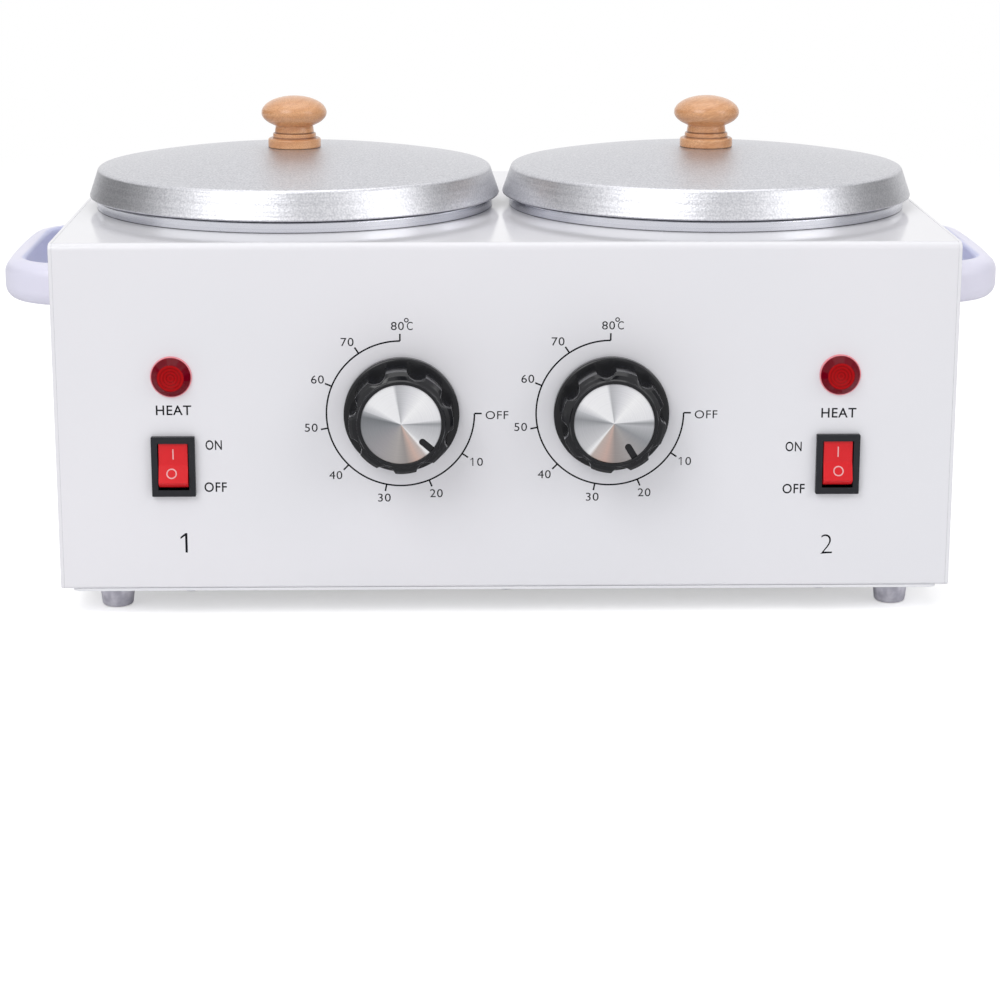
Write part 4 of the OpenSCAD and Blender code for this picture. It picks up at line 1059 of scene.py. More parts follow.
# The handle's plastic, with painted shade on the loop's inner side.
LAVENDER = LoopPlasticWithPaintedShade("lavender_plastic", srgb(233, 231, 247), srgb(223, 223, 244), rough=0.34,
                       amount=0.4, smudge=0.06, grain_scale=2600, bump=0.2, bump_depth=0.02,
                       deep=srgb(202, 206, 238))
RUBBER = Finish("grey_rubber", srgb(234, 232, 242), srgb(180, 178, 192), rough=0.4, amount=0.8,
                drift_scale=260, grain_scale=2200, bump=0.3, bump_depth=0.05)
LID = Spun("spun_aluminium", srgb(215, 215, 219), srgb(176, 177, 183), rough=0.38, metal=1.0,
           amount=0.7, drift_scale=1500, smudge=0.04, grain_scale=1500, bump=1.0, bump_depth=0.11,
           lines=1500, line_share=0.15)
# The well's collar gets lines of painted shade under the lid's edge and where it meets the top plate.
WELL = Spun("turned_aluminium", srgb(222, 223, 229), srgb(186, 188, 197), rough=0.26, metal=1.0,
            amount=0.3, smudge=0.02, grain_scale=2000, bump=0.3, bump_depth=0.03, lines=1400,
            line_share=0.4, seams=((RIM - 0.5, 0.55), (TOP + 0.05, 0.35)))
# Painted reflections of the bright surroundings, shared by both caps.
PAINTED_SKY_REFLECTION = ((-6, srgb(192, 193, 197)), (1, srgb(156, 158, 162)), (8, srgb(240, 240, 243)),
            (50, srgb(254, 254, 255)), (74, srgb(228, 228, 232)), (97, srgb(190, 191, 195)),
            (102, srgb(250, 250, 252)), (145, srgb(252, 252, 254)), (160, srgb(206, 207, 211)))
# Each cap's colour holds its sheen as painted sectors of highlight and shade.
CAP = BrushedWithPaintedSheen("painted_sheen_cap", srgb(230, 230, 232), srgb(205, 205, 210), rough=0.28, metal=0.35,
                 amount=0.2, grain_scale=4000, bump=0.12, bump_depth=0.01, lines=5000,
                 line_share=0.3, anisotropy=0.5,
                 painted_sheen_fans=((-200, srgb(178, 180, 184)), (-192, srgb(122, 125, 129)),
                       (-170, srgb(144, 146, 150)), (-130, srgb(164, 161, 164)),
                       (-98, srgb(178, 173, 171)), (-82, srgb(160, 154, 152)),
                       (-66, srgb(212, 184, 172)), (-53, srgb(200, 188, 184)),
                       (-48, srgb(252, 252, 253)), (-40, srgb(220, 220, 223)), *PAINTED_SKY_REFLECTION))
CAPS = {Side.LEFT: CAP, Side.RIGHT: replace(
    CAP, name="painted_sheen_cap_right",
    painted_sheen_fans=((-200, srgb(196, 198, 202)), (-188, srgb(150, 152, 156)), (-172, srgb(186, 187, 191)),
          (-138, srgb(210, 210, 213)), (-129, srgb(252, 252, 253)), (-124, srgb(196, 182, 176)),
          (-104, srgb(206, 178, 168)), (-88, srgb(160, 152, 150)), (-60, srgb(172, 168, 168)),
          (-30, srgb(152, 154, 158)), *PAINTED_SKY_REFLECTION))}
# The dark lines in the knob's grooves and under its foot are painted shade.
BEECH = Beech("oiled_beech", srgb(230, 174, 125), srgb(183, 121, 76), rough=0.34, coat=0.5,
              coat_rough=0.15, bump=0.2, bump_depth=0.06, late=srgb(204, 139, 89),
              burn=srgb(66, 28, 10), grooves=(0.1, 3.75, 5.5))
DIAL_BLACK = Finish("gloss_black", srgb(14, 15, 20), srgb(24, 24, 30), rough=0.13, specular=0.42,
                    amount=0.3, drift_scale=60, smudge=0.05, grain_scale=2600, bump=0.06,
                    bump_depth=0.02)
SATIN_BLACK = Finish("satin_black", srgb(30, 32, 38), srgb(24, 26, 31), rough=0.4, specular=0.35,
                     amount=0.4, drift_scale=80, grain_scale=4200, bump=0.3, bump_depth=0.03)
ROCKER_RED = Finish("red_plastic", srgb(224, 34, 42), srgb(208, 26, 34), rough=0.3, specular=0.3,
                    amount=0.4, drift_scale=120, grain_scale=3500, bump=0.1, bump_depth=0.02)
# Red lens colour, with painted shade on the slope and rings and a painted highlight round the outer edge.
LENS = LampGlass("red_lens", srgb(176, 0, 8), srgb(104, 0, 4), rough=0.08, specular=0.12, coat=0.05,
                 coat_rough=0.05, smudge=0.02, grain_scale=3000, bump=0.04, bump_depth=0.02,
                 slope=srgb(112, 0, 22), rim=srgb(240, 150, 160), face_r=4.55)
DARK_INK = Finish("dark_ink", srgb(12, 12, 18), srgb(24, 24, 32), rough=0.5, specular=0.15,
                  amount=0.6, drift_scale=400, grain_scale=5000, bump=0.1, bump_depth=0.01)
PALE_INK = Finish("pale_ink", srgb(236, 182, 184), srgb(222, 160, 162), rough=0.5, amount=0.5,
                  drift_scale=400, grain_scale=5000, bump=0.1, bump_depth=0.01)
ZINC = Finish("zinc_plate", srgb(196, 198, 204), srgb(168, 172, 182), rough=0.34, metal=1.0,
              drift_scale=200, grain_scale=3000, bump=0.2, bump_depth=0.02)
STEEL = Finish("bright_steel", srgb(190, 191, 195), srgb(165, 166, 170), rough=0.3, metal=1.0,
               drift_scale=90, grain_scale=2500, bump=0.15, bump_depth=0.02)
CAST = Finish("cast_aluminium", srgb(160, 161, 165), srgb(128, 129, 134), rough=0.55, metal=0.9,
              drift_scale=60, amount=0.6, grain_scale=700, bump=0.5, bump_depth=0.15)
BRASS = Finish("brass", srgb(206, 170, 96), srgb(180, 140, 74), rough=0.3, metal=1.0,
               drift_scale=150, grain_scale=2600, bump=0.15, bump_depth=0.02)
COPPER = Finish("copper_tube", srgb(196, 124, 84), srgb(160, 92, 60), rough=0.32, metal=1.0,
                drift_scale=120, grain_scale=2600, bump=0.15, bump_depth=0.02)
FELT = Finish("mineral_felt", srgb(217, 211, 196), srgb(190, 180, 158), rough=0.95, amount=0.8,
              drift_scale=110, grain_scale=1500, bump=0.9, bump_depth=0.4)
BLOCK = Finish("ivory_plastic", srgb(236, 230, 212), srgb(224, 214, 190), rough=0.4,
               drift_scale=80, grain_scale=2200, bump=0.15, bump_depth=0.03)
BROWN = Finish("brown_sleeve", srgb(104, 60, 34), srgb(84, 46, 26), rough=0.4, grain_scale=2200)
BLUE = Finish("blue_sleeve", srgb(48, 96, 170), srgb(36, 76, 142), rough=0.4, grain_scale=2200)
GREEN = Finish("green_sleeve", srgb(120, 172, 58), srgb(210, 196, 50), rough=0.4, grain_scale=2200,
               amount=0.7, drift_scale=160)

FLOOR = FloorPaint("floor", (0.95, 0.95, 0.955), (0.94, 0.94, 0.95), rough=0.9, specular=0.1,
                   bump=0.02)


# Sub-assemblies


def middle(node: str) -> Vector:
    """The middle of a CAD node's box, in millimetres."""
    low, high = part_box(node)
    return (low + high) / (2 * MM)


def bottom(node: str) -> float:
    """The height of a CAD node's lowest point, in millimetres."""
    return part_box(node)[0].z / MM


@dataclass(frozen=True)
class Assembly:
    """A group of pieces that are built, dressed and put on a CAD body together."""

    def dress(self, piece: bpy.types.Object, finish: Finish, slot: Slot, *nodes: str,
              body: str = CASING) -> None:
        """Gives a piece its finish, puts it on its body and reports it.

        Args:
            piece: The piece, in place.
            finish: Its finish.
            slot: The material slot of the finish; not used.
            nodes: The CAD nodes that the piece stands for.
            body: The CAD body that it moves with.
        """
        finish.dress(piece)
        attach(piece, body)
        if nodes:
            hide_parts(*nodes)
        log.info("%s, in %s, rides on %s, %d faces", piece.name, finish.name, body,
                 len(piece.data.polygons))


@dataclass(frozen=True)
class SidedAssembly(Assembly):
    """A group that stands once on the left and once on the right."""

    side: Side

    def named(self, word: str) -> str:
        """A name with the side behind it."""
        return f"{word}_{self.side.word}"


@dataclass(frozen=True)
class Casing(Assembly):
    """Folded wrap, two side panels and the base plate."""

    sheet: float = SHEET
    base_t: float = 1.0
    bend: float = 2.5
    low_bend: float = 1.0
    least_bend: float = 0.3
    flange: float = 7.0
    edge: float = 0.16
    plate_edge: float = 0.15
    end_edge: float = 0.35
    end_edge_mid: float = 0.1
    fit_gap: float = 0.1
    well_hole_r: float = 69.5
    spindle_hole_r: float = 5.2
    lamp_hole_r: float = 6.0
    switch_hole: Flat = (13.2, 19.6)
    inlet_gap: float = 0.2
    base_w: float = 302.0
    base_d: float = 189.4
    base_corner: float = 3.0
    screw_x: float = 110.0
    screw_y: float = 90.3
    vent: Point = (4.0, 44.0, 1.99)
    vents: int = 5
    vent_pitch: float = 9.0
    vent_row: float = 26.4

    def skin(self, inset: float, low: float) -> list[tuple[float, ...]]:
        """The casing's outline seen from the right, inset from its outside and down to low.

        Args:
            inset: How far the outline lies inside the casing's outside.
            low: The height of its lower edge.

        Returns:
            The corners as (y, z, radius).
        """
        bend = max(self.bend - inset, self.least_bend)
        fold = max(self.low_bend - inset, self.least_bend)
        front, rear, top = FRONT + inset, REAR - inset, TOP - inset
        return [(front, low, fold), (front, top, bend), (rear, top, bend), (rear, low, fold)]

    def wrap(self) -> None:
        """Builds the front, top and rear in one sheet, with its openings."""
        low = UNDER + self.base_t
        lips = (FRONT + self.flange, REAR - self.flange)
        outer = [(lips[0], low), *self.skin(0, low), (lips[1], low)]
        inner = self.skin(self.sheet, low + self.sheet)
        outline = rounded([*outer, (lips[1], low + self.sheet), *inner[::-1],
                           (lips[0], low + self.sheet)])
        length = HALF_W - self.sheet
        shape = Shape().loft([[(x, y, z) for y, z in outline] for x in (-length, length)])
        holes = Shape()
        for side in Side:
            well, r = middle(f"pot_{side.word}"), self.well_hole_r
            disc = Shape().lathe([(0, -HOLE_DEPTH), (r, -HOLE_DEPTH), (r, HOLE_DEPTH), (0, HOLE_DEPTH)])
            holes.add(disc, Face.TOP.at(well.x, well.y, TOP))
            for node, opening in (("dial_spindle", circle(self.spindle_hole_r)),
                                  ("lamp_lens", circle(self.lamp_hole_r)),
                                  ("rocker", rectangle(*self.switch_hole))):
                place = middle(f"{node}_{side.word}")
                holes.add(Shape().extrude(opening, -HOLE_DEPTH, HOLE_DEPTH),
                          Face.FRONT.at(place.x, FRONT, place.z))
        inlet = middle("power_inlet")
        holes.add(Shape().extrude(PowerInlet().outline(self.inlet_gap), -HOLE_DEPTH, HOLE_DEPTH),
                  Face.REAR.at(inlet.x, REAR, inlet.z))
        self.dress(shape.build("casing_wrap", holes=holes, soft=self.edge), ENAMEL, Slot.ENAMEL,
                   "cover_wrap")

    def side_panel(self, side: Side) -> None:
        """Builds one end of the casing, a shallow pan whose edges turn in behind the wrap.

        Args:
            side: Which end.
        """
        low = UNDER + self.base_t

        def ring(inset: float, out: float) -> list[Point]:
            """One outline of the pan, moved to its distance from the middle."""
            points = rounded(self.skin(inset, low + inset))
            return [(side.value * (HALF_W + out), y, z) for y, z in points]

        t, gap, edge, mid = self.sheet, self.fit_gap, self.end_edge, self.end_edge_mid
        levels = [(2 * t + gap, -t), (2 * t + gap, -t - self.flange), (t + gap, -t - self.flange),
                  (t + gap, -t), (0, -t), (0, -edge), (mid, -mid), (edge, 0)]
        shape = Shape().loft([ring(inset, out) for inset, out in levels])
        self.dress(shape.build(f"end_panel_{side.word}"), ENAMEL, Slot.ENAMEL, f"side_panel_{side.word}")

    def floor_plate(self) -> None:
        """Builds the base plate with its vent slots."""
        shape = Shape().extrude(rectangle(self.base_w, self.base_d, self.base_corner), 0, self.base_t)
        holes = Shape()
        slot = Shape().extrude(rectangle(*self.vent), -2 * PAST, HOLE_DEPTH)
        for side in Side:
            for row in (-1, 1):
                for i in range(self.vents):
                    x = middle(f"pot_{side.word}").x + (i - self.vents // 2) * self.vent_pitch
                    holes.add(slot, moved(x, row * self.vent_row))
        place = Face.TOP.at(0, MID_Y, UNDER)
        self.dress(shape.build("floor_plate", place, holes, self.plate_edge), BASE_ENAMEL, Slot.ENAMEL,
                   "base_plate")

    def screw_places(self) -> list[Matrix]:
        """Where the base plate's screws sit, head seats on the plate's underside."""
        return [Face.TOP.at(x, MID_Y + y, UNDER)
                for x in (-self.screw_x, 0, self.screw_x) for y in (-self.screw_y, self.screw_y)]

    def build(self) -> None:
        """Builds the whole casing."""
        self.wrap()
        for side in Side:
            self.side_panel(side)
        self.floor_plate()


@dataclass(frozen=True)
class Feet(Assembly):
    """Four tapered rubber feet with a deep screw hole."""

    top_r: float = 6.5
    base_r: float = 5.4
    height: float = UNDER
    hole_r: float = 2.2
    recess_r: float = 3.8
    recess_h: float = 4.275
    edges: Point = (0.35, 1.1, 0.3)

    def build(self) -> None:
        """Builds the feet where the CAD has them."""
        top, base, inner = self.edges
        profile = rounded([
            (self.hole_r, self.height), (self.top_r, self.height, top), (self.base_r, 0, base),
            (self.recess_r, 0, inner), (self.recess_r, self.recess_h), (self.hole_r, self.recess_h)])
        for end in End:
            for side in Side:
                node = f"foot_{end.value}_{side.word}"
                place = middle(node)
                shape = Shape().lathe(profile, steps=72, closed=True)
                piece = shape.build(f"rubber_{node}", Face.TOP.at(place.x, place.y, 0))
                self.dress(piece, RUBBER, Slot.FOOT, node)


@dataclass(frozen=True)
class Screws(Assembly):
    """Screws of one kind, each upright with its head's seat at z = 0 and the head under it.

    The head is given as its radius, height and edge, the shank as its radius and length, and the
    cross recess as its reach and half its arms' width.
    """

    name: str
    node: str
    places: Sequence[Matrix]
    head: Point
    shank: Flat
    tip_edge: float = 0.5
    cross: Flat = (1.3, 0.3)
    recess_from: float = 0.45

    def build(self) -> None:
        """Builds the screws, with a cross recess in each head."""
        head_r, head_h, edge = self.head
        profile = rounded([(0, -head_h), (head_r, -head_h, edge), (head_r, 0), (self.shank[0], 0),
                           (*self.shank, self.tip_edge), (0, self.shank[1])],
                          steps=4, closed=False)
        screw, shape, holes = Shape().lathe(profile, steps=40), Shape(), Shape()
        reach, half = self.cross
        arm = [(half, reach), (-half, reach), (-half, half)]
        plus = list(arm)
        for _ in range(3):
            arm = [(-y, x) for x, y in arm]
            plus += arm
        recess = Shape().extrude(plus, -head_h - PAST, -self.recess_from * head_h)
        for place in self.places:
            shape.add(screw, place)
            holes.add(recess, place)
        self.dress(shape.build(self.name, holes=holes), ZINC, Slot.ZINC, self.node)


@dataclass(frozen=True)
class Handle(SidedAssembly):
    """Moulded loop handle: a nearly straight grip, two bends and two short arms."""

    height: float = 109.7
    reach: float = 25.5
    span: float = 107.5
    bar: Flat = (7.8, 14.8)
    outer_edge: float = 5.0
    inner_edge: float = 1.8
    bend_r: float = 20.0
    bend_steps: int = 16
    bow_r: float = 600.0
    bow_steps: int = 12
    screw_y: float = 49.1

    def stations(self) -> list[tuple[float, float, float]]:
        """Points along the bar's middle line, each with the direction that the bar's outside faces.

        Returns:
            Each point's distance from the panel and from the middle, and the direction in degrees.
        """
        reach, half = self.reach - self.bar[0] / 2, self.span / 2 - self.bar[0] / 2
        bend_y = half - self.bend_r
        turn = math.degrees(math.asin(bend_y / (self.bow_r - self.bend_r)))
        bow_x = reach - self.bow_r
        bend_x = bow_x + (self.bow_r - self.bend_r) * math.cos(math.radians(turn))
        bend = [turn + (90 - turn) * i / self.bend_steps for i in range(1, self.bend_steps + 1)]
        line = [(0.0, -half, -90.0), (bend_x / 2, -half, -90.0)]
        line += [(bend_x + self.bend_r * math.cos(math.radians(a)),
                  -bend_y - self.bend_r * math.sin(math.radians(a)), -a) for a in bend[::-1]]
        for i in range(-self.bow_steps, self.bow_steps + 1):
            facing = turn * i / self.bow_steps
            a = math.radians(facing)
            line.append((bow_x + self.bow_r * math.cos(a), self.bow_r * math.sin(a), facing))
        line += [(bend_x + self.bend_r * math.cos(math.radians(a)),
                  bend_y + self.bend_r * math.sin(math.radians(a)), a) for a in bend]
        return [*line, (bend_x / 2, half, 90.0), (0.0, half, 90.0)]

    def build(self) -> None:
        """Builds the handle."""
        u, v = self.bar[0] / 2, self.bar[1] / 2
        section = rounded([(-u, -v, self.inner_edge), (u, -v, self.outer_edge),
                           (u, v, self.outer_edge), (-u, v, self.inner_edge)], steps=9)
        rings: list[list[Point]] = []
        for x, y, facing in self.stations():
            c, s = math.cos(math.radians(facing)), math.sin(math.radians(facing))
            rings.append([(self.side.value * (HALF_W + x + u * c), MID_Y + y + u * s,
                           self.height + v) for u, v in section])
        piece = Shape().loft(rings).build(self.named("loop_handle"))
        self.dress(piece, LAVENDER, Slot.HANDLE, self.named("handle"))

    def screw_places(self) -> list[Matrix]:
        """Where the screws sit that hold the handle from inside, head seats on the panel's inside."""
        face, seat = Face[self.side.name], self.side.value * (HALF_W - SHEET)
        return [face.at(seat, MID_Y + s * self.screw_y, self.height) for s in (-1, 1)]


@dataclass(frozen=True)
class Well(SidedAssembly):
    """Fixed well with a folded collar and a stud under its floor."""

    bore_r: float = 67.0
    wall: float = 1.2
    floor: float = 61.8
    floor_t: float = 1.5
    corner: float = 8.0
    collar_r: float = 73.0
    collar_edge: float = 1.4
    mouth_edge: float = 0.7
    stud_r: float = 3.0
    stud_edge: float = 0.5

    def build(self) -> None:
        """Builds the well."""
        low = bottom(self.named("pot"))
        out, under = self.bore_r + self.wall, self.floor - self.floor_t
        inside = self.collar_r - self.wall
        profile = rounded([
            (0, low), (self.stud_r, low, self.stud_edge), (self.stud_r, under),
            (out, under, self.corner + self.wall), (out, RIM - self.wall),
            (inside, RIM - self.wall, self.collar_edge - self.wall), (inside, TOP),
            (self.collar_r, TOP), (self.collar_r, RIM, self.collar_edge),
            (self.bore_r, RIM, self.mouth_edge), (self.bore_r, self.floor, self.corner),
            (0, self.floor),
        ], steps=8, closed=False)
        place = middle(self.named("lid"))
        piece = Shape().lathe(profile, steps=256).build(
            self.named("well"), Face.TOP.at(place.x, place.y, 0))
        self.dress(piece, WELL, Slot.WELL, self.named("pot"))


@dataclass(frozen=True)
class Lid(SidedAssembly):
    """Spun lid: domed top with a flat seat, leaning skirt, ledge and locating ring."""

    rim_z: float = RIM
    rim_r: float = 75.55
    top_r: float = 72.6
    skirt_h: float = 10.5
    rise: float = 6.5
    thick: float = 1.0
    edge: float = 1.8
    low_edge: float = 0.5
    least_edge: float = 0.02
    hole_r: float = 2.2
    ring_r: float = 66.2
    ring_h: float = 5.0
    ring_edge: float = 0.4
    edge_steps: int = 8
    dome_steps: int = 30

    @property
    def crown(self) -> float:
        """The height at which the dome would reach its middle."""
        return self.rim_z + self.skirt_h + self.rise

    def skin(self, depth: float) -> list[Flat]:
        """One face of the sheet, from the skirt's lower edge to the seat.

        Args:
            depth: How far it lies inside the outer face.

        Returns:
            Its points as (radius, height).
        """
        high = (self.top_r - self.edge, self.rim_z + self.skirt_h - self.edge)
        drop = self.crown - high[1]
        dome = (high[0] ** 2 + drop ** 2 - self.edge ** 2) / (2 * (drop - self.edge))
        centre, round_r = (0.0, self.crown - dome), self.edge - depth
        low = (self.rim_r - self.low_edge, self.rim_z + self.low_edge)
        low_r = max(self.low_edge - depth, self.least_edge)
        if depth > self.low_edge:
            low = (self.rim_r - depth, self.rim_z + depth)
        gap = (low[0] - high[0], high[1] - low[1])
        lean = math.degrees(math.atan2(gap[0], gap[1])
                            + math.asin((low_r - round_r) / math.hypot(*gap)))
        start = math.degrees(math.atan2(high[1] - centre[1], high[0]))
        end = math.degrees(math.asin((self.seat_z() - depth - centre[1]) / (dome - depth)))
        points = arc(low, low_r, -90, lean, self.edge_steps)
        points += arc(high, round_r, lean, start, self.edge_steps)
        return points + arc(centre, dome - depth, start, end, self.dome_steps)[1:]

    def seat_z(self) -> float:
        """The height of the flat seat pressed into the crown."""
        return bottom(self.named("lid_knob"))

    def build(self) -> None:
        """Builds the lid."""
        seat, inner = self.seat_z(), self.skin(self.thick)[::-1]
        ring_in, ring_low = self.ring_r - self.thick, self.rim_z - self.ring_h
        profile = [*self.skin(0), (self.hole_r, seat), (self.hole_r, seat - self.thick), *inner,
                   *rounded([(ring_in, self.rim_z + self.thick), (ring_in, ring_low, self.ring_edge),
                             (self.ring_r, ring_low, self.ring_edge), (self.ring_r, self.rim_z)],
                            steps=4, closed=False)]
        place = middle(self.named("lid"))
        piece = Shape().lathe(profile, steps=256, closed=True).build(
            self.named("spun_lid"), Face.TOP.at(place.x, place.y, 0))
        self.dress(piece, LID, Slot.LID, self.named("lid"), body=Mover.LID.on(self.side))


@dataclass(frozen=True)
class LidKnob(SidedAssembly):
    """Turned wooden knob: foot, step, coved neck and a flattened round head.

    Foot, step and screw hole are given as radius and height, and the groove over the foot as two
    places off the foot's top. The cove and the head's underside are arcs, each over so many
    degrees and over a share of the height between step and head.
    """

    head_r: float = 12.0
    neck_r: float = 6.9
    foot: Flat = (9.7, 3.6)
    foot_edges: Flat = (0.35, 0.75)
    foot_groove: tuple[Flat, Flat] = ((0.1, -0.3), (0.05, 0.2))
    step: Flat = (7.9, 5.4)
    step_edge: float = 0.5
    groove: Flat = (0.75, 0.1)
    cove: Point = (0.7, 75.0, 0.36)
    cove_fade: Flat = (1.15, 3)
    head_z: float = 12.7
    head_under: Flat = (60.0, 0.62)
    head_round: float = 1.5
    dome_h: float = 6.1
    screw: Flat = (2.0, 12.0)
    steps: tuple[int, int, int] = (14, 18, 24)
    grain_turn: float = 35.0

    def profile(self) -> list[Flat]:
        """The knob's outline from its screw hole out and up to its top, as (radius, height).

        Returns:
            The outline's points.
        """
        (foot_r, foot_h), (step_r, step_h), (hole_r, hole_h) = self.foot, self.step, self.screw
        cove_in, cove_turn, cove_share = self.cove
        under_turn, under_share = self.head_under
        fade, power = self.cove_fade
        cove_steps, under_steps, dome_steps = self.steps
        rise, swell = self.head_z - step_h, self.head_r - self.neck_r
        points = rounded([
            (0, hole_h), (hole_r, hole_h), (hole_r, 0), (foot_r, 0, self.foot_edges[0]),
            (foot_r, foot_h, self.foot_edges[1]),
            *[(step_r + out, foot_h + up) for out, up in self.foot_groove],
            (step_r, step_h, self.step_edge),
            (step_r - self.groove[0], step_h - self.groove[1])], steps=5, closed=False)
        for i in range(1, cove_steps + 1):
            a = math.radians(cove_turn * i / cove_steps)
            hollow = (step_r - cove_in - self.neck_r) * max(math.cos(a * fade), 0) ** power
            points.append((self.neck_r + hollow, step_h + rise * cove_share * math.sin(a)))
        for i in range(under_steps):
            a = math.radians(under_turn * (i / under_steps - 1))
            points.append((self.neck_r + swell * math.cos(a) ** self.head_round,
                           self.head_z + rise * under_share * math.sin(a)))
        for i in range(dome_steps):
            a = math.radians(90 * i / dome_steps)
            points.append((self.head_r * math.cos(a), self.head_z + self.dome_h * math.sin(a)))
        return [*points, (0, self.head_z + self.dome_h)]

    def build(self) -> None:
        """Builds the knob."""
        node = self.named("lid_knob")
        place = middle(node)
        turned = Face.TOP.at(place.x, place.y, bottom(node))
        turned = turned @ about("Z", self.grain_turn * self.side.value)
        piece = Shape().lathe(self.profile(), steps=96).build(self.named("turned_knob"), turned)
        self.dress(piece, BEECH, Slot.BEECH, node, body=Mover.LID.on(self.side))


@dataclass(frozen=True)
class Dial(SidedAssembly):
    """Thermostat dial: fluted grip on a skirt, and a brushed cap slotted for the pointer.

    Heights are taken from the panel. The turn is the one from OFF, clockwise in degrees.
    """

    turn: float
    at: Flat = DIAL_AT
    gap: float = 0.8
    skirt_r: float = 19.85
    skirt_top: float = 3.8
    skirt_in: float = 18.2
    skirt_edges: Flat = (0.25, 0.8)
    shoulder_r: float = 17.0
    socket: Flat = (3.0, 14.2)
    boss: Flat = (5.5, 4.0)
    hollow: Point = (13.5, 3.0, 14.7)
    grip_r: float = 17.8
    steps: tuple[Point, ...] = ((17.7, 15.9, 0.5), (16.5, 17.1, 0.4), (15.2, 17.6, 0.3),
                                (14.8, 18.3, 0.25))
    recess: Point = (13.75, 18.3, 0.15)
    lobes: int = 8
    flute_r: float = 3.6
    flute_at: float = 19.3
    soft: float = 1.4
    flute_steps: tuple[float, ...] = (0, 0.25, 0.5, 0.7)
    edge_steps: Point = (0.15, 0.45, 1.0)
    lobe_steps: tuple[float, ...] = (0.2, 0.4, 0.6, 0.8, 1.0)
    least_edge: float = 2.4
    cap_r: float = 13.7
    cap_z: float = 17.2
    cap_t: float = 0.6
    cap_edge: float = 0.06
    cap_round: float = 0.2
    slot_w: float = 2.35
    slot_from: float = 9.45

    def flute_edge(self, radius: float) -> float:
        """The angle from a flute's middle to its edge, in degrees, where the grip has this radius."""
        c = (radius ** 2 + self.flute_at ** 2 - self.flute_r ** 2) / (2 * radius * self.flute_at)
        return math.degrees(math.acos(min(c, 1.0)))

    def ring(self, radius: float, height: float, fluted: bool) -> list[Point]:
        """One ring of the dial.

        Args:
            radius: Its radius on the lobes.
            height: Its height above the panel.
            fluted: Whether the flutes cut into it.

        Returns:
            Its points, which follow the flutes' edges.
        """
        edge = max(self.flute_edge(radius if fluted else self.grip_r), self.least_edge)
        step = 360 / self.lobes
        near = [edge + sign * d for sign in (-1, 1) for d in self.edge_steps]
        inside = [edge * f for f in self.flute_steps]
        beyond = edge + self.edge_steps[-1]
        outside = [beyond + (step / 2 - beyond) * f for f in self.lobe_steps]
        half = sorted(inside + near + outside)
        angles = [-a for a in half[:0:-1]][1:] + half
        points: list[Point] = []
        for lobe in range(self.lobes):
            for angle in angles:
                r = radius
                sine = self.flute_at * math.sin(math.radians(angle))
                if fluted and abs(sine) < self.flute_r:
                    cut = self.flute_at * math.cos(math.radians(angle))
                    cut -= math.sqrt(self.flute_r ** 2 - sine ** 2)
                    close = max(self.soft - abs(radius - cut), 0) / self.soft
                    r = min(radius, cut) - close * close * self.soft / 4
                a = math.radians(angle + (lobe + 0.5) * step)
                points.append((r * math.cos(a), r * math.sin(a), height))
        return points

    def knob(self) -> None:
        """Builds the black knob, hollow behind, with a recess for the cap."""
        socket_r, socket_z = self.socket
        boss_r, boss_z = self.boss
        room_r, room_low, room_z = self.hollow
        behind = [(socket_r, socket_z), (socket_r, boss_z), (boss_r, boss_z), (boss_r, room_z),
                  (room_r, room_z), (room_r, room_low), (self.skirt_in, room_low),
                  (self.skirt_in, self.gap)]
        low_edge, top_edge = self.skirt_edges
        skirt = rounded([(self.skirt_in, self.gap), (self.skirt_r, self.gap, low_edge),
                         (self.skirt_r, self.skirt_top, top_edge),
                         (self.shoulder_r, self.skirt_top)], closed=False)
        grip = rounded([(self.grip_r, self.skirt_top), *self.steps, self.recess,
                        (self.recess[0], self.cap_z)], steps=5, closed=False)
        rings = [[(0.0, 0.0, socket_z)]]
        rings += [self.ring(r, h, False) for r, h in behind + skirt[1:-1]]
        rings += [self.ring(r, h, True) for r, h in grip]
        rings += [[(0.0, 0.0, self.cap_z)]]
        place = self.side.on_front(self.at) @ about("Z", -self.turn)
        piece = Shape().loft(rings).build(self.named("dial_grip"), place)
        self.dress(piece, DIAL_BLACK, Slot.DIAL, self.named("dial_knob"),
                   body=Mover.DIAL.on(self.side))

    def cap(self) -> None:
        """Builds the brushed cap."""
        disc = Shape().lathe(rounded([
            (0, 0), (self.cap_r, 0), (self.cap_r, self.cap_t, self.cap_round), (0, self.cap_t)],
            steps=4, closed=False), steps=180)
        half, reach = self.slot_w / 2, self.cap_r + 2 * PAST
        outline = [*arc((self.slot_from, 0), half, 90, 270, steps=12), (reach, -half),
                   (reach, half)]
        slot = Shape().add(Shape().extrude(outline, -PAST, 2 * PAST), about("Z", -self.turn))
        place = self.side.on_front(self.at) @ moved(0, 0, self.cap_z)
        piece = disc.build(self.named("dial_disc"), place, slot, self.cap_edge)
        self.dress(piece, CAPS[self.side], Slot.CAP, self.named("dial_cap"),
                   body=Mover.DIAL.on(self.side))

    def build(self) -> None:
        """Builds the dial."""
        self.knob()
        self.cap()


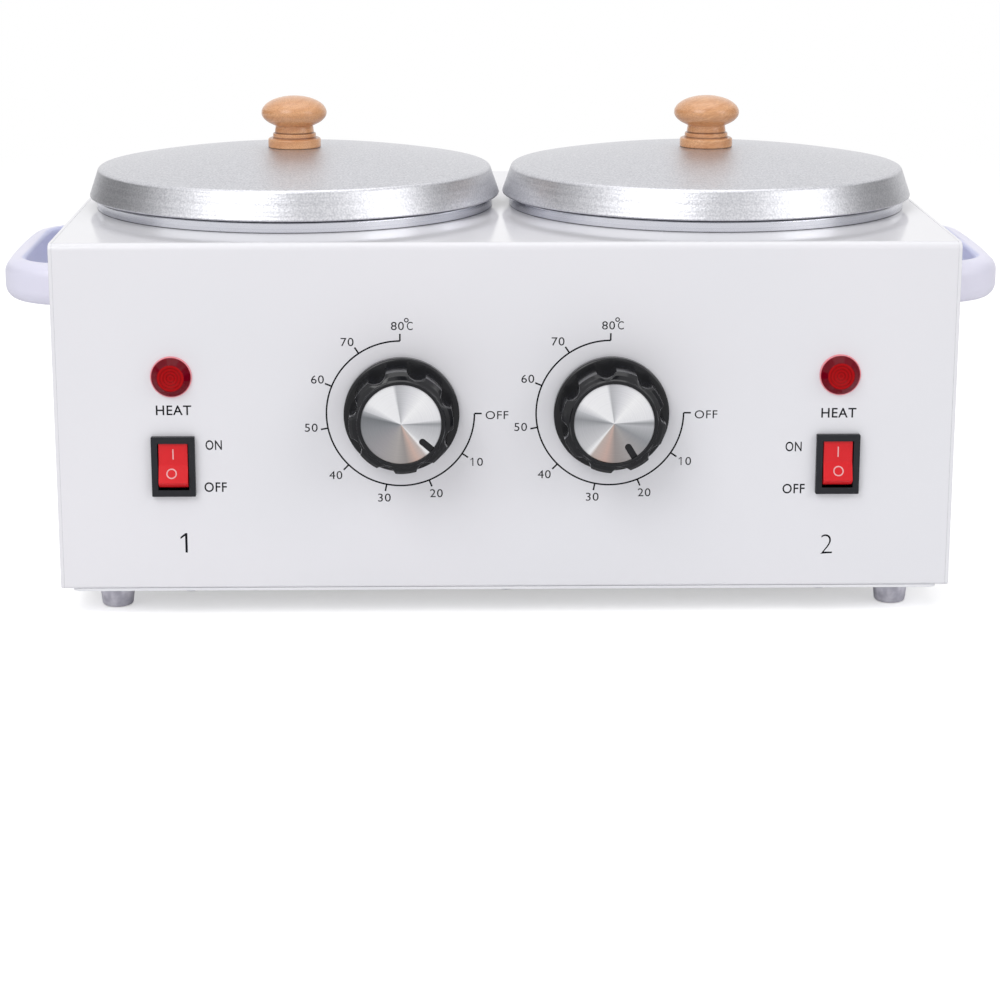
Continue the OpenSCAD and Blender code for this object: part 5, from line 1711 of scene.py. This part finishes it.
@dataclass(frozen=True)
class Rocker(SidedAssembly):
    """Rocker switch: black bezel and body, and a red rocker with its two marks."""

    at: Flat = SWITCH_AT
    bezel: Point = (15.0, 21.0, 2.0)
    bezel_corner: float = 0.35
    edge: float = 0.22
    body_edge: float = 0.2
    body: Point = (13.0, 19.4, 13.0)
    pivot: float = -2.2
    pocket_r: float = 9.2
    pocket_w: float = 10.7
    pocket_floor: float = -7.7
    key_w: float = 10.1
    key_r: float = 9.0
    lower_r: float = 8.0
    crease: float = 3.8
    crease_edge: float = 2.5
    end_low: float = 0.8
    hub: Flat = (2.0, -1.6)
    slope: float = 10.0
    tilt: float = -11.0
    pin: Flat = (1.5, 6.05)
    stroke_w: float = 0.42
    stroke_corner: float = 0.1
    bar_mark: Flat = (3.6, 3.7)
    ring_mark: Flat = (1.6, -3.1)
    ring_x: Flat = (0.35, -0.2)

    def housing(self, place: Matrix) -> None:
        """Builds the bezel and the body behind the panel, with a round pocket for the rocker.

        Args:
            place: The switch's place on the panel.
        """
        width, height, depth = self.body
        hidden = Shape().extrude(rectangle(width, height), -SHEET - depth, 0.0)
        bezel = Shape().extrude(rectangle(*self.bezel[:2], self.bezel_corner), 0.0, self.bezel[2])
        outline = arc((0, self.pivot), self.pocket_r, 0, 180, steps=40)
        outline += [(-self.pocket_r, self.pocket_floor), (self.pocket_r, self.pocket_floor)]
        cut = Shape().add(Shape().extrude(outline, -self.pocket_w / 2, self.pocket_w / 2), SIDE_ON)
        self.dress(bezel.build(self.named("switch_bezel"), place, cut, self.edge),
                   SATIN_BLACK, Slot.BLACK, self.named("switch_body"))
        self.dress(hidden.build(self.named("switch_housing"), place, cut, self.body_edge),
                   SATIN_BLACK, Slot.BLACK)

    def half(self, radius: float) -> list[Flat]:
        """The end of the rocker's outline on one side, from its face down.

        Args:
            radius: How far it reaches from the pivot.

        Returns:
            Its points as (distance along the face, height over the pivot).
        """
        tangent = math.tan(math.radians(self.slope))
        a, b = 1 + tangent ** 2, 2 * self.crease * tangent
        reach = (-b + math.sqrt(b * b - 4 * a * (self.crease ** 2 - radius ** 2))) / (2 * a)
        end = math.degrees(math.atan2(self.crease + reach * tangent, reach))
        low = math.degrees(math.asin(self.end_low / radius))
        return arc((0, 0), radius, end, low, steps=10)

    def key(self, place: Matrix) -> None:
        """Builds the rocker in its own frame, with its crease along x.

        Args:
            place: The rocker's own frame in the row frame.
        """
        near = self.half(self.key_r)
        far = [(-x, y) for x, y in self.half(self.lower_r)[::-1]]
        out, low = self.hub
        outline = rounded([(0, self.crease, self.crease_edge), *near, (out, low), (-out, low), *far])
        shape = Shape().add(Shape().extrude(outline, -self.key_w / 2, self.key_w / 2), SIDE_ON)
        self.dress(shape.build(self.named("rocker_key"), place, soft=self.edge), ROCKER_RED,
                   Slot.ROCKER, self.named("rocker"), body=Mover.ROCKER.on(self.side))

    def pins(self, place: Matrix) -> None:
        """Builds the two pins that the rocker tilts on.

        Args:
            place: The rocker's own frame in the row frame.
        """
        pins = Shape()
        for sign in (-1, 1):
            start, stop = sign * self.key_w / 2, sign * self.pin[1]
            pins.add(Shape().lathe([(0, start), (self.pin[0], start), (self.pin[0], stop),
                                    (0, stop)], steps=32), about("Y", 90))
        self.dress(pins.build(self.named("rocker_pins"), place), ROCKER_RED, Slot.ROCKER,
                   body=Mover.ROCKER.on(self.side))

    def marks(self, place: Matrix) -> None:
        """Prints the rocker's I and O, each on its own half.

        Args:
            place: The rocker's own frame in the row frame.
        """
        length, bar_y = self.bar_mark
        radius, ring_y = self.ring_mark
        lean, shift = self.ring_x
        crease = moved(0, 0, self.crease)
        outline = rectangle(self.stroke_w, length, self.stroke_corner, steps=2)
        bar = Shape().extrude(outline, -INK, INK)
        marks = Shape().add(bar, crease @ about("X", self.slope) @ moved(0, bar_y))
        ring = stroke(radius, self.stroke_w, 0, 360, steps=40)
        marks.add(ring, crease @ about("X", -self.slope)
                  @ moved(lean * self.side.value + shift, ring_y))
        self.dress(marks.build(self.named("rocker_marks"), place), PALE_INK, Slot.ROCKER,
                   body=Mover.ROCKER.on(self.side))

    def build(self) -> None:
        """Builds the switch."""
        place = self.side.on_front(self.at)
        self.housing(place)
        tilted = place @ moved(0, 0, self.pivot) @ about("X", self.tilt)
        self.key(tilted)
        self.pins(tilted)
        self.marks(tilted)


@dataclass(frozen=True)
class PilotLamp(SidedAssembly):
    """Red lens with a thin flange, a sloping side and rings stepped into its face."""

    at: Flat = LAMP_AT
    flange: Flat = (7.1, 0.8)
    edge: float = 0.3
    slope_r: float = 6.8
    slope_step: float = 0.02
    face: Flat = (4.6, 3.2)
    ring: Flat = (1.05, 0.15)
    ring_edge: float = 0.06
    ring_lean: float = 0.05
    rings: int = 3
    shank: Flat = (4.6, -4.0)
    hollow: Flat = (3.9, 1.8)

    def build(self) -> None:
        """Builds the lens."""
        face_r, face_z = self.face
        profile: list[tuple[float, ...]] = [
            (0, self.hollow[1]), self.hollow, (self.hollow[0], self.shank[1]), self.shank,
            (self.shank[0], 0), (self.flange[0], 0), (*self.flange, self.edge),
            (self.slope_r, self.flange[1] + self.slope_step), (face_r, face_z, self.edge)]
        for i in range(1, self.rings + 1):
            r, z = face_r - self.ring[0] * i, face_z - self.ring[1] * i
            profile += [(r, z + self.ring[1], self.ring_edge),
                        (r - self.ring_lean, z, self.ring_edge)]
        profile.append((0, face_z - self.ring[1] * self.rings))
        place = self.side.on_front(self.at)
        piece = Shape().lathe(rounded(profile, steps=4, closed=False), steps=96).build(
            self.named("lamp_glass"), place)
        self.dress(piece, LENS, Slot.LENS, self.named("lamp_lens"))


@dataclass(frozen=True)
class PowerInlet(Assembly):
    """Mains inlet in the rear panel: a flange and a housing with a deep socket."""

    flange: Point = (50.0, 24.0, 2.6)
    corner: float = 3.0
    face_edge: float = 0.4
    body_edge: float = 0.2
    body: Flat = (27.0, 19.6)
    body_corner: float = 0.8
    cut_corner: float = 5.0
    back: float = -19.2
    wall: float = 1.3
    socket: float = 15.5
    screw_x: float = 20.0
    screw_r: float = 1.7

    def outline(self, gap: float) -> list[Flat]:
        """The housing's outline, widened by a gap.

        Args:
            gap: How far it moves out.

        Returns:
            The outline's points.
        """
        x, y, c = self.body[0] / 2 + gap, self.body[1] / 2 + gap, self.cut_corner
        corners = [(-x, -y), (x, -y), (x, y - c), (x - c, y), (c - x, y), (-x, y - c)]
        return rounded([(*corner, self.body_corner) for corner in corners], steps=4)

    def build(self) -> None:
        """Builds the inlet."""
        place = middle("power_inlet")
        where = Face.REAR.at(place.x, REAR, place.z)
        face = self.flange[2]
        socket = Shape().extrude(self.outline(-self.wall), face - self.socket, face + PAST)
        holes = Shape().add(socket, Matrix())
        for sign in (-1, 1):
            hole = circle(self.screw_r, (sign * self.screw_x, 0))
            holes.add(Shape().extrude(hole, -PAST, face + PAST), Matrix())
        plate = Shape().extrude(rectangle(*self.flange[:2], self.corner, steps=8), 0, face)
        self.dress(plate.build("inlet_flange", where, holes, self.face_edge), SATIN_BLACK,
                   Slot.BLACK, "power_inlet")
        housing = Shape().extrude(self.outline(0), self.back, 0)
        self.dress(housing.build("inlet_housing", where, socket, self.body_edge), SATIN_BLACK,
                   Slot.BLACK)


@dataclass(frozen=True)
class Print(Assembly):
    """The panel's printing: a scale around each dial, and the words at the lamps and switches.

    The flag of the figure 1 is given as its width over the stem's, its drop over the height, and
    how far under the top it meets the stem, over its own width.
    """

    dial_at: Flat = DIAL_AT
    arc_r: float = 25.4
    arc_at: Flat = (-0.4, -0.2)
    tick_r: float = 27.9
    line: float = 0.55
    sweep: float = 270.0
    ticks: int = 9
    weight: float = 0.01
    digit_h: float = 2.87
    marks: tuple[tuple[str, float, float, float], ...] = (
        ("80", -1.2, 30.4, 4.4), ("C", 3.0, 30.4, 2.0), ("70", -18.4, 24.9, 4.4),
        ("60", -28.7, 11.9, 4.4), ("50", -31.1, -5.0, 4.4), ("40", -22.9, -21.8, 4.5),
        ("30", -6.2, -29.9, 4.4), ("20", 11.8, -28.4, 4.4), ("0", 26.9, -17.3, 2.0),
        ("OFF", 32.75, -0.8, 7.8))
    one: Point = (24.1, -17.3, 1.0)
    one_stroke: float = 0.33
    degree: Flat = (1.85, 32.4)
    degree_ring: Flat = (0.62, 0.34)
    number_h: float = 7.0
    number_1: Point = (-111.8, 26.9, 2.4)
    number_2: Point = (111.8, 25.4, 4.0)
    number_stroke: float = 0.8
    thinner: float = -0.02
    flag: Point = (0.9, 0.2, 1.3)
    words: tuple[tuple[str, Flat, Flat, Flat], ...] = (
        ("HEAT", (-114.1, 74.0), (114.6, 72.3), (12.1, 3.4)),
        ("ON", (-100.7, 61.7), (99.3, 60.4), (5.6, 3.45)),
        ("OFF", (-100.4, 46.8), (99.7, 45.4), (7.7, 3.45)))

    def figure_one(self, width: float, height: float, weight: float) -> Shape:
        """A printed 1 with its flag, around the origin.

        Args:
            width, height: Its size.
            weight: The width of its stem.

        Returns:
            The shape.
        """
        x, y, flag = width / 2, height / 2, weight * self.flag[0]
        drop = self.flag[1] * height
        outline = [(x - weight, -y), (x, -y), (x, y), (x - flag, y), (-x, y - drop),
                   (-x, y - drop - flag), (x - weight, y - self.flag[2] * flag)]
        return Shape().extrude(outline, -INK, INK)

    def scale(self, side: Side) -> None:
        """Prints one dial's scale.

        Args:
            side: Which dial.
        """
        centre, out = moved(*self.arc_at), moved((self.tick_r + self.arc_r) / 2, 0)
        shape = Shape().add(stroke(self.arc_r, self.line, 0, -self.sweep, steps=160), centre)
        tick = Shape().extrude(rectangle(self.tick_r - self.arc_r, self.line), -INK, INK)
        for i in range(self.ticks):
            shape.add(tick, centre @ about("Z", -self.sweep * i / (self.ticks - 1)) @ out)
        for text, x, y, width in self.marks:
            shape.add(lettering(text, width, self.digit_h, (x, y)), Matrix())
        x, y, width = self.one
        shape.add(self.figure_one(width, self.digit_h, self.one_stroke), moved(x, y))
        shape.add(stroke(*self.degree_ring, 0, 360, steps=24), moved(*self.degree))
        piece = shape.build(f"scale_print_{side.word}", side.on_front(self.dial_at))
        self.dress(piece, DARK_INK, Slot.ENAMEL)

    def build(self) -> None:
        """Prints the panel."""
        words = Shape()
        for text, left, right, size in self.words:
            for place in (left, right):
                words.add(lettering(text, *size, place, self.weight), Matrix())
        x, y, width = self.number_1
        words.add(self.figure_one(width, self.number_h, self.number_stroke), moved(x, y))
        x, y, width = self.number_2
        words.add(lettering("2", width, self.number_h, (x, y), self.thinner), Matrix())
        self.dress(words.build("word_print", Face.FRONT.at(0, FRONT, 0)), DARK_INK, Slot.ENAMEL)
        for side in Side:
            self.scale(side)


@dataclass(frozen=True)
class Innards:
    """The CAD nodes that stay as they are and only get their finish."""

    finishes: tuple[tuple[str, Finish], ...] = (
        ("foot_screws", ZINC), ("inlet_screws", ZINC), ("lid_screw", ZINC),
        ("thermostat_screws", ZINC), ("stud_nuts", ZINC), ("insulation", FELT), ("heater", CAST),
        ("strap", STEEL), ("thermal_cutout", SATIN_BLACK), ("thermostat", STEEL),
        ("sensor", COPPER), ("dial_spindle", STEEL), ("switch_contacts", BRASS),
        ("inlet_pins", BRASS), ("lamp_barrel", SATIN_BLACK), ("terminal_block", BLOCK),
        ("live_wires", BROWN), ("neutral_wires", BLUE), ("earth_wire", GREEN))

    def build(self) -> None:
        """Gives each node its finish."""
        for name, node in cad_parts.items():
            for start, finish in self.finishes:
                if name == start or name in (f"{start}_left", f"{start}_right"):
                    finish.dress(node)
                    log.info("%s, in %s, stays as it is", name, finish.name)


@dataclass(frozen=True)
class Card:
    """A card that only reflections show, in metres, with its level of grey from 0 to 1."""

    name: str
    place: Point
    aim: Point
    size: Flat
    level: float
    corner: float = 0.02
    half_t: float = 0.002
    shade: float = 0.8

    def build(self) -> None:
        """Stands the card in its place, facing its aim."""
        outline = rectangle(self.size[0] / MM, self.size[1] / MM, self.corner / MM)
        card = Shape().extrude(outline, -self.half_t / MM, self.half_t / MM).build(self.name)
        Finish(self.name, (self.level,) * 3, (self.level * self.shade,) * 3, rough=0.9,
               specular=0.1).dress(card)
        turn = (Vector(self.place) - Vector(self.aim)).to_track_quat("Z", "Y").to_matrix().to_4x4()
        card.matrix_world = Matrix.Translation(self.place) @ turn
        card.visible_camera = card.visible_diffuse = card.visible_shadow = False
        card.visible_transmission = card.visible_volume_scatter = False


@dataclass(frozen=True)
class SoftLight:
    """A square soft light, its place, aim and side in metres and its power in watts."""

    name: str
    place: Point
    side: float
    power: float
    aim: Point = (0, 0, 0.08)

    def build(self) -> None:
        """Hangs the light so that it faces its aim."""
        data = bpy.data.lights.new(self.name, "AREA")
        data.shape, data.size, data.energy = "SQUARE", self.side, self.power
        light = linked(self.name, data)
        turn = (Vector(self.aim) - Vector(self.place)).to_track_quat("-Z", "Y")
        light.matrix_world = Matrix.Translation(self.place) @ turn.to_matrix().to_4x4()


@dataclass(frozen=True)
class Studio:
    """Pale floor, soft lights, white surroundings and the camera, in metres."""

    eye: Point = (-0.02215, -0.98752, 0.27255)
    yaw: float = 0.0222
    pitch: float = 0.2511
    roll: float = 0.0012
    lens: float = 96.49
    sensor: float = 36.0
    clip: Flat = (0.05, 20.0)
    ambient: float = 0.48
    floor_r: float = 1.6
    floor_under: float = 0.0002
    cards: tuple[Card, ...] = (
        Card("left_card", (-1.4, 0.25, 0.45), (0, 0.25, 0.2), (0.95, 0.5), 0.09),
        Card("rear_left_card", (-1.45, 1.2, 0.3), (0, 0.3, 0.2), (0.9, 0.6), 0.3),
        Card("front_card", (0.05, -2.0, 1.3), (0, 0, 0.15), (0.5, 0.9), 0.35),
        Card("right_card", (1.5, 0.3, 0.5), (0, 0.1, 0.2), (1.6, 1.0), 0.47))
    lights: tuple[SoftLight, ...] = (
        SoftLight("key", (-0.9, -1.3, 1.5), 1.2, 15), SoftLight("top", (0.0, 0.1, 1.7), 1.4, 7),
        SoftLight("fill", (1.4, -0.9, 0.9), 1.0, 6))

    def camera(self) -> None:
        """Sets up the camera at the photograph's viewing angle."""
        data = bpy.data.cameras.new("camera")
        data.lens, data.sensor_width, data.sensor_fit = self.lens, self.sensor, "HORIZONTAL"
        data.clip_start, data.clip_end = self.clip
        ahead = Vector((math.sin(self.yaw) * math.cos(self.pitch),
                        math.cos(self.yaw) * math.cos(self.pitch), -math.sin(self.pitch)))
        right = Vector((math.cos(self.yaw), -math.sin(self.yaw), 0))
        up = right.cross(ahead)
        c, s = math.cos(self.roll), math.sin(self.roll)
        axes = Matrix((right * c + up * s, up * c - right * s, -ahead)).transposed().to_4x4()
        camera = linked("camera", data)
        camera.matrix_world = Matrix.Translation(self.eye) @ axes
        bpy.context.scene.camera = camera

    def world(self) -> None:
        """White surroundings for the camera and in reflections, dimmer as light on the object."""
        world = bpy.data.worlds.new("surroundings")
        bpy.context.scene.world = world
        world.use_nodes = True
        world.node_tree.nodes.clear()
        graph = Graph(world.node_tree)
        rays = graph.add("LightPath").outputs
        seen = graph.sum("MAXIMUM", rays["Is Camera Ray"], rays["Is Transmission Ray"])
        level = graph.sum("MAXIMUM", seen, rays["Is Glossy Ray"])
        strength = graph.spread(level, 0.0, 1.0, self.ambient, 1.0)
        back = graph.add("Background", {"Color": (1, 1, 1), "Strength": strength})
        graph.join(back.outputs[0], graph.add("OutputWorld").inputs[0])

    def floor(self) -> None:
        """Lays the floor just under the feet."""
        radius = self.floor_r / MM
        shape = Shape().lathe([(0, 0), (radius / 4, 0), (radius, 0)], steps=96)
        shape.faces = shape.faces[:-1]
        floor = shape.build("floor", moved(0, 0, -self.floor_under / MM))
        FLOOR.dress(floor)

    def build(self) -> None:
        """Sets up the studio."""
        self.camera()
        self.world()
        self.floor()
        for piece in (*self.cards, *self.lights):
            piece.build()
        bpy.context.scene.view_settings.view_transform = "Standard"


def main() -> None:
    """Builds every sub-assembly in order."""
    Studio().build()
    casing = Casing()
    casing.build()
    Feet().build()
    Screws("plate_screws", "base_screws", casing.screw_places(), head=(2.9, 0.7, 0.35),
           shank=(1.45, 5.0)).build()
    arm_places = [place for side in Side for place in Handle(side).screw_places()]
    Screws("arm_screws", "handle_screws", arm_places, head=(3.6, 2.0, 0.8), shank=(2.0, 9.2)).build()
    for side, turn in DIAL_TURNS.items():
        Handle(side).build()
        Well(side).build()
        Lid(side).build()
        LidKnob(side).build()
        Dial(side, turn).build()
        Rocker(side).build()
        PilotLamp(side).build()
    PowerInlet().build()
    Print().build()
    Innards().build()
    bpy.context.view_layer.update()


if __name__ == "__main__":
    main()
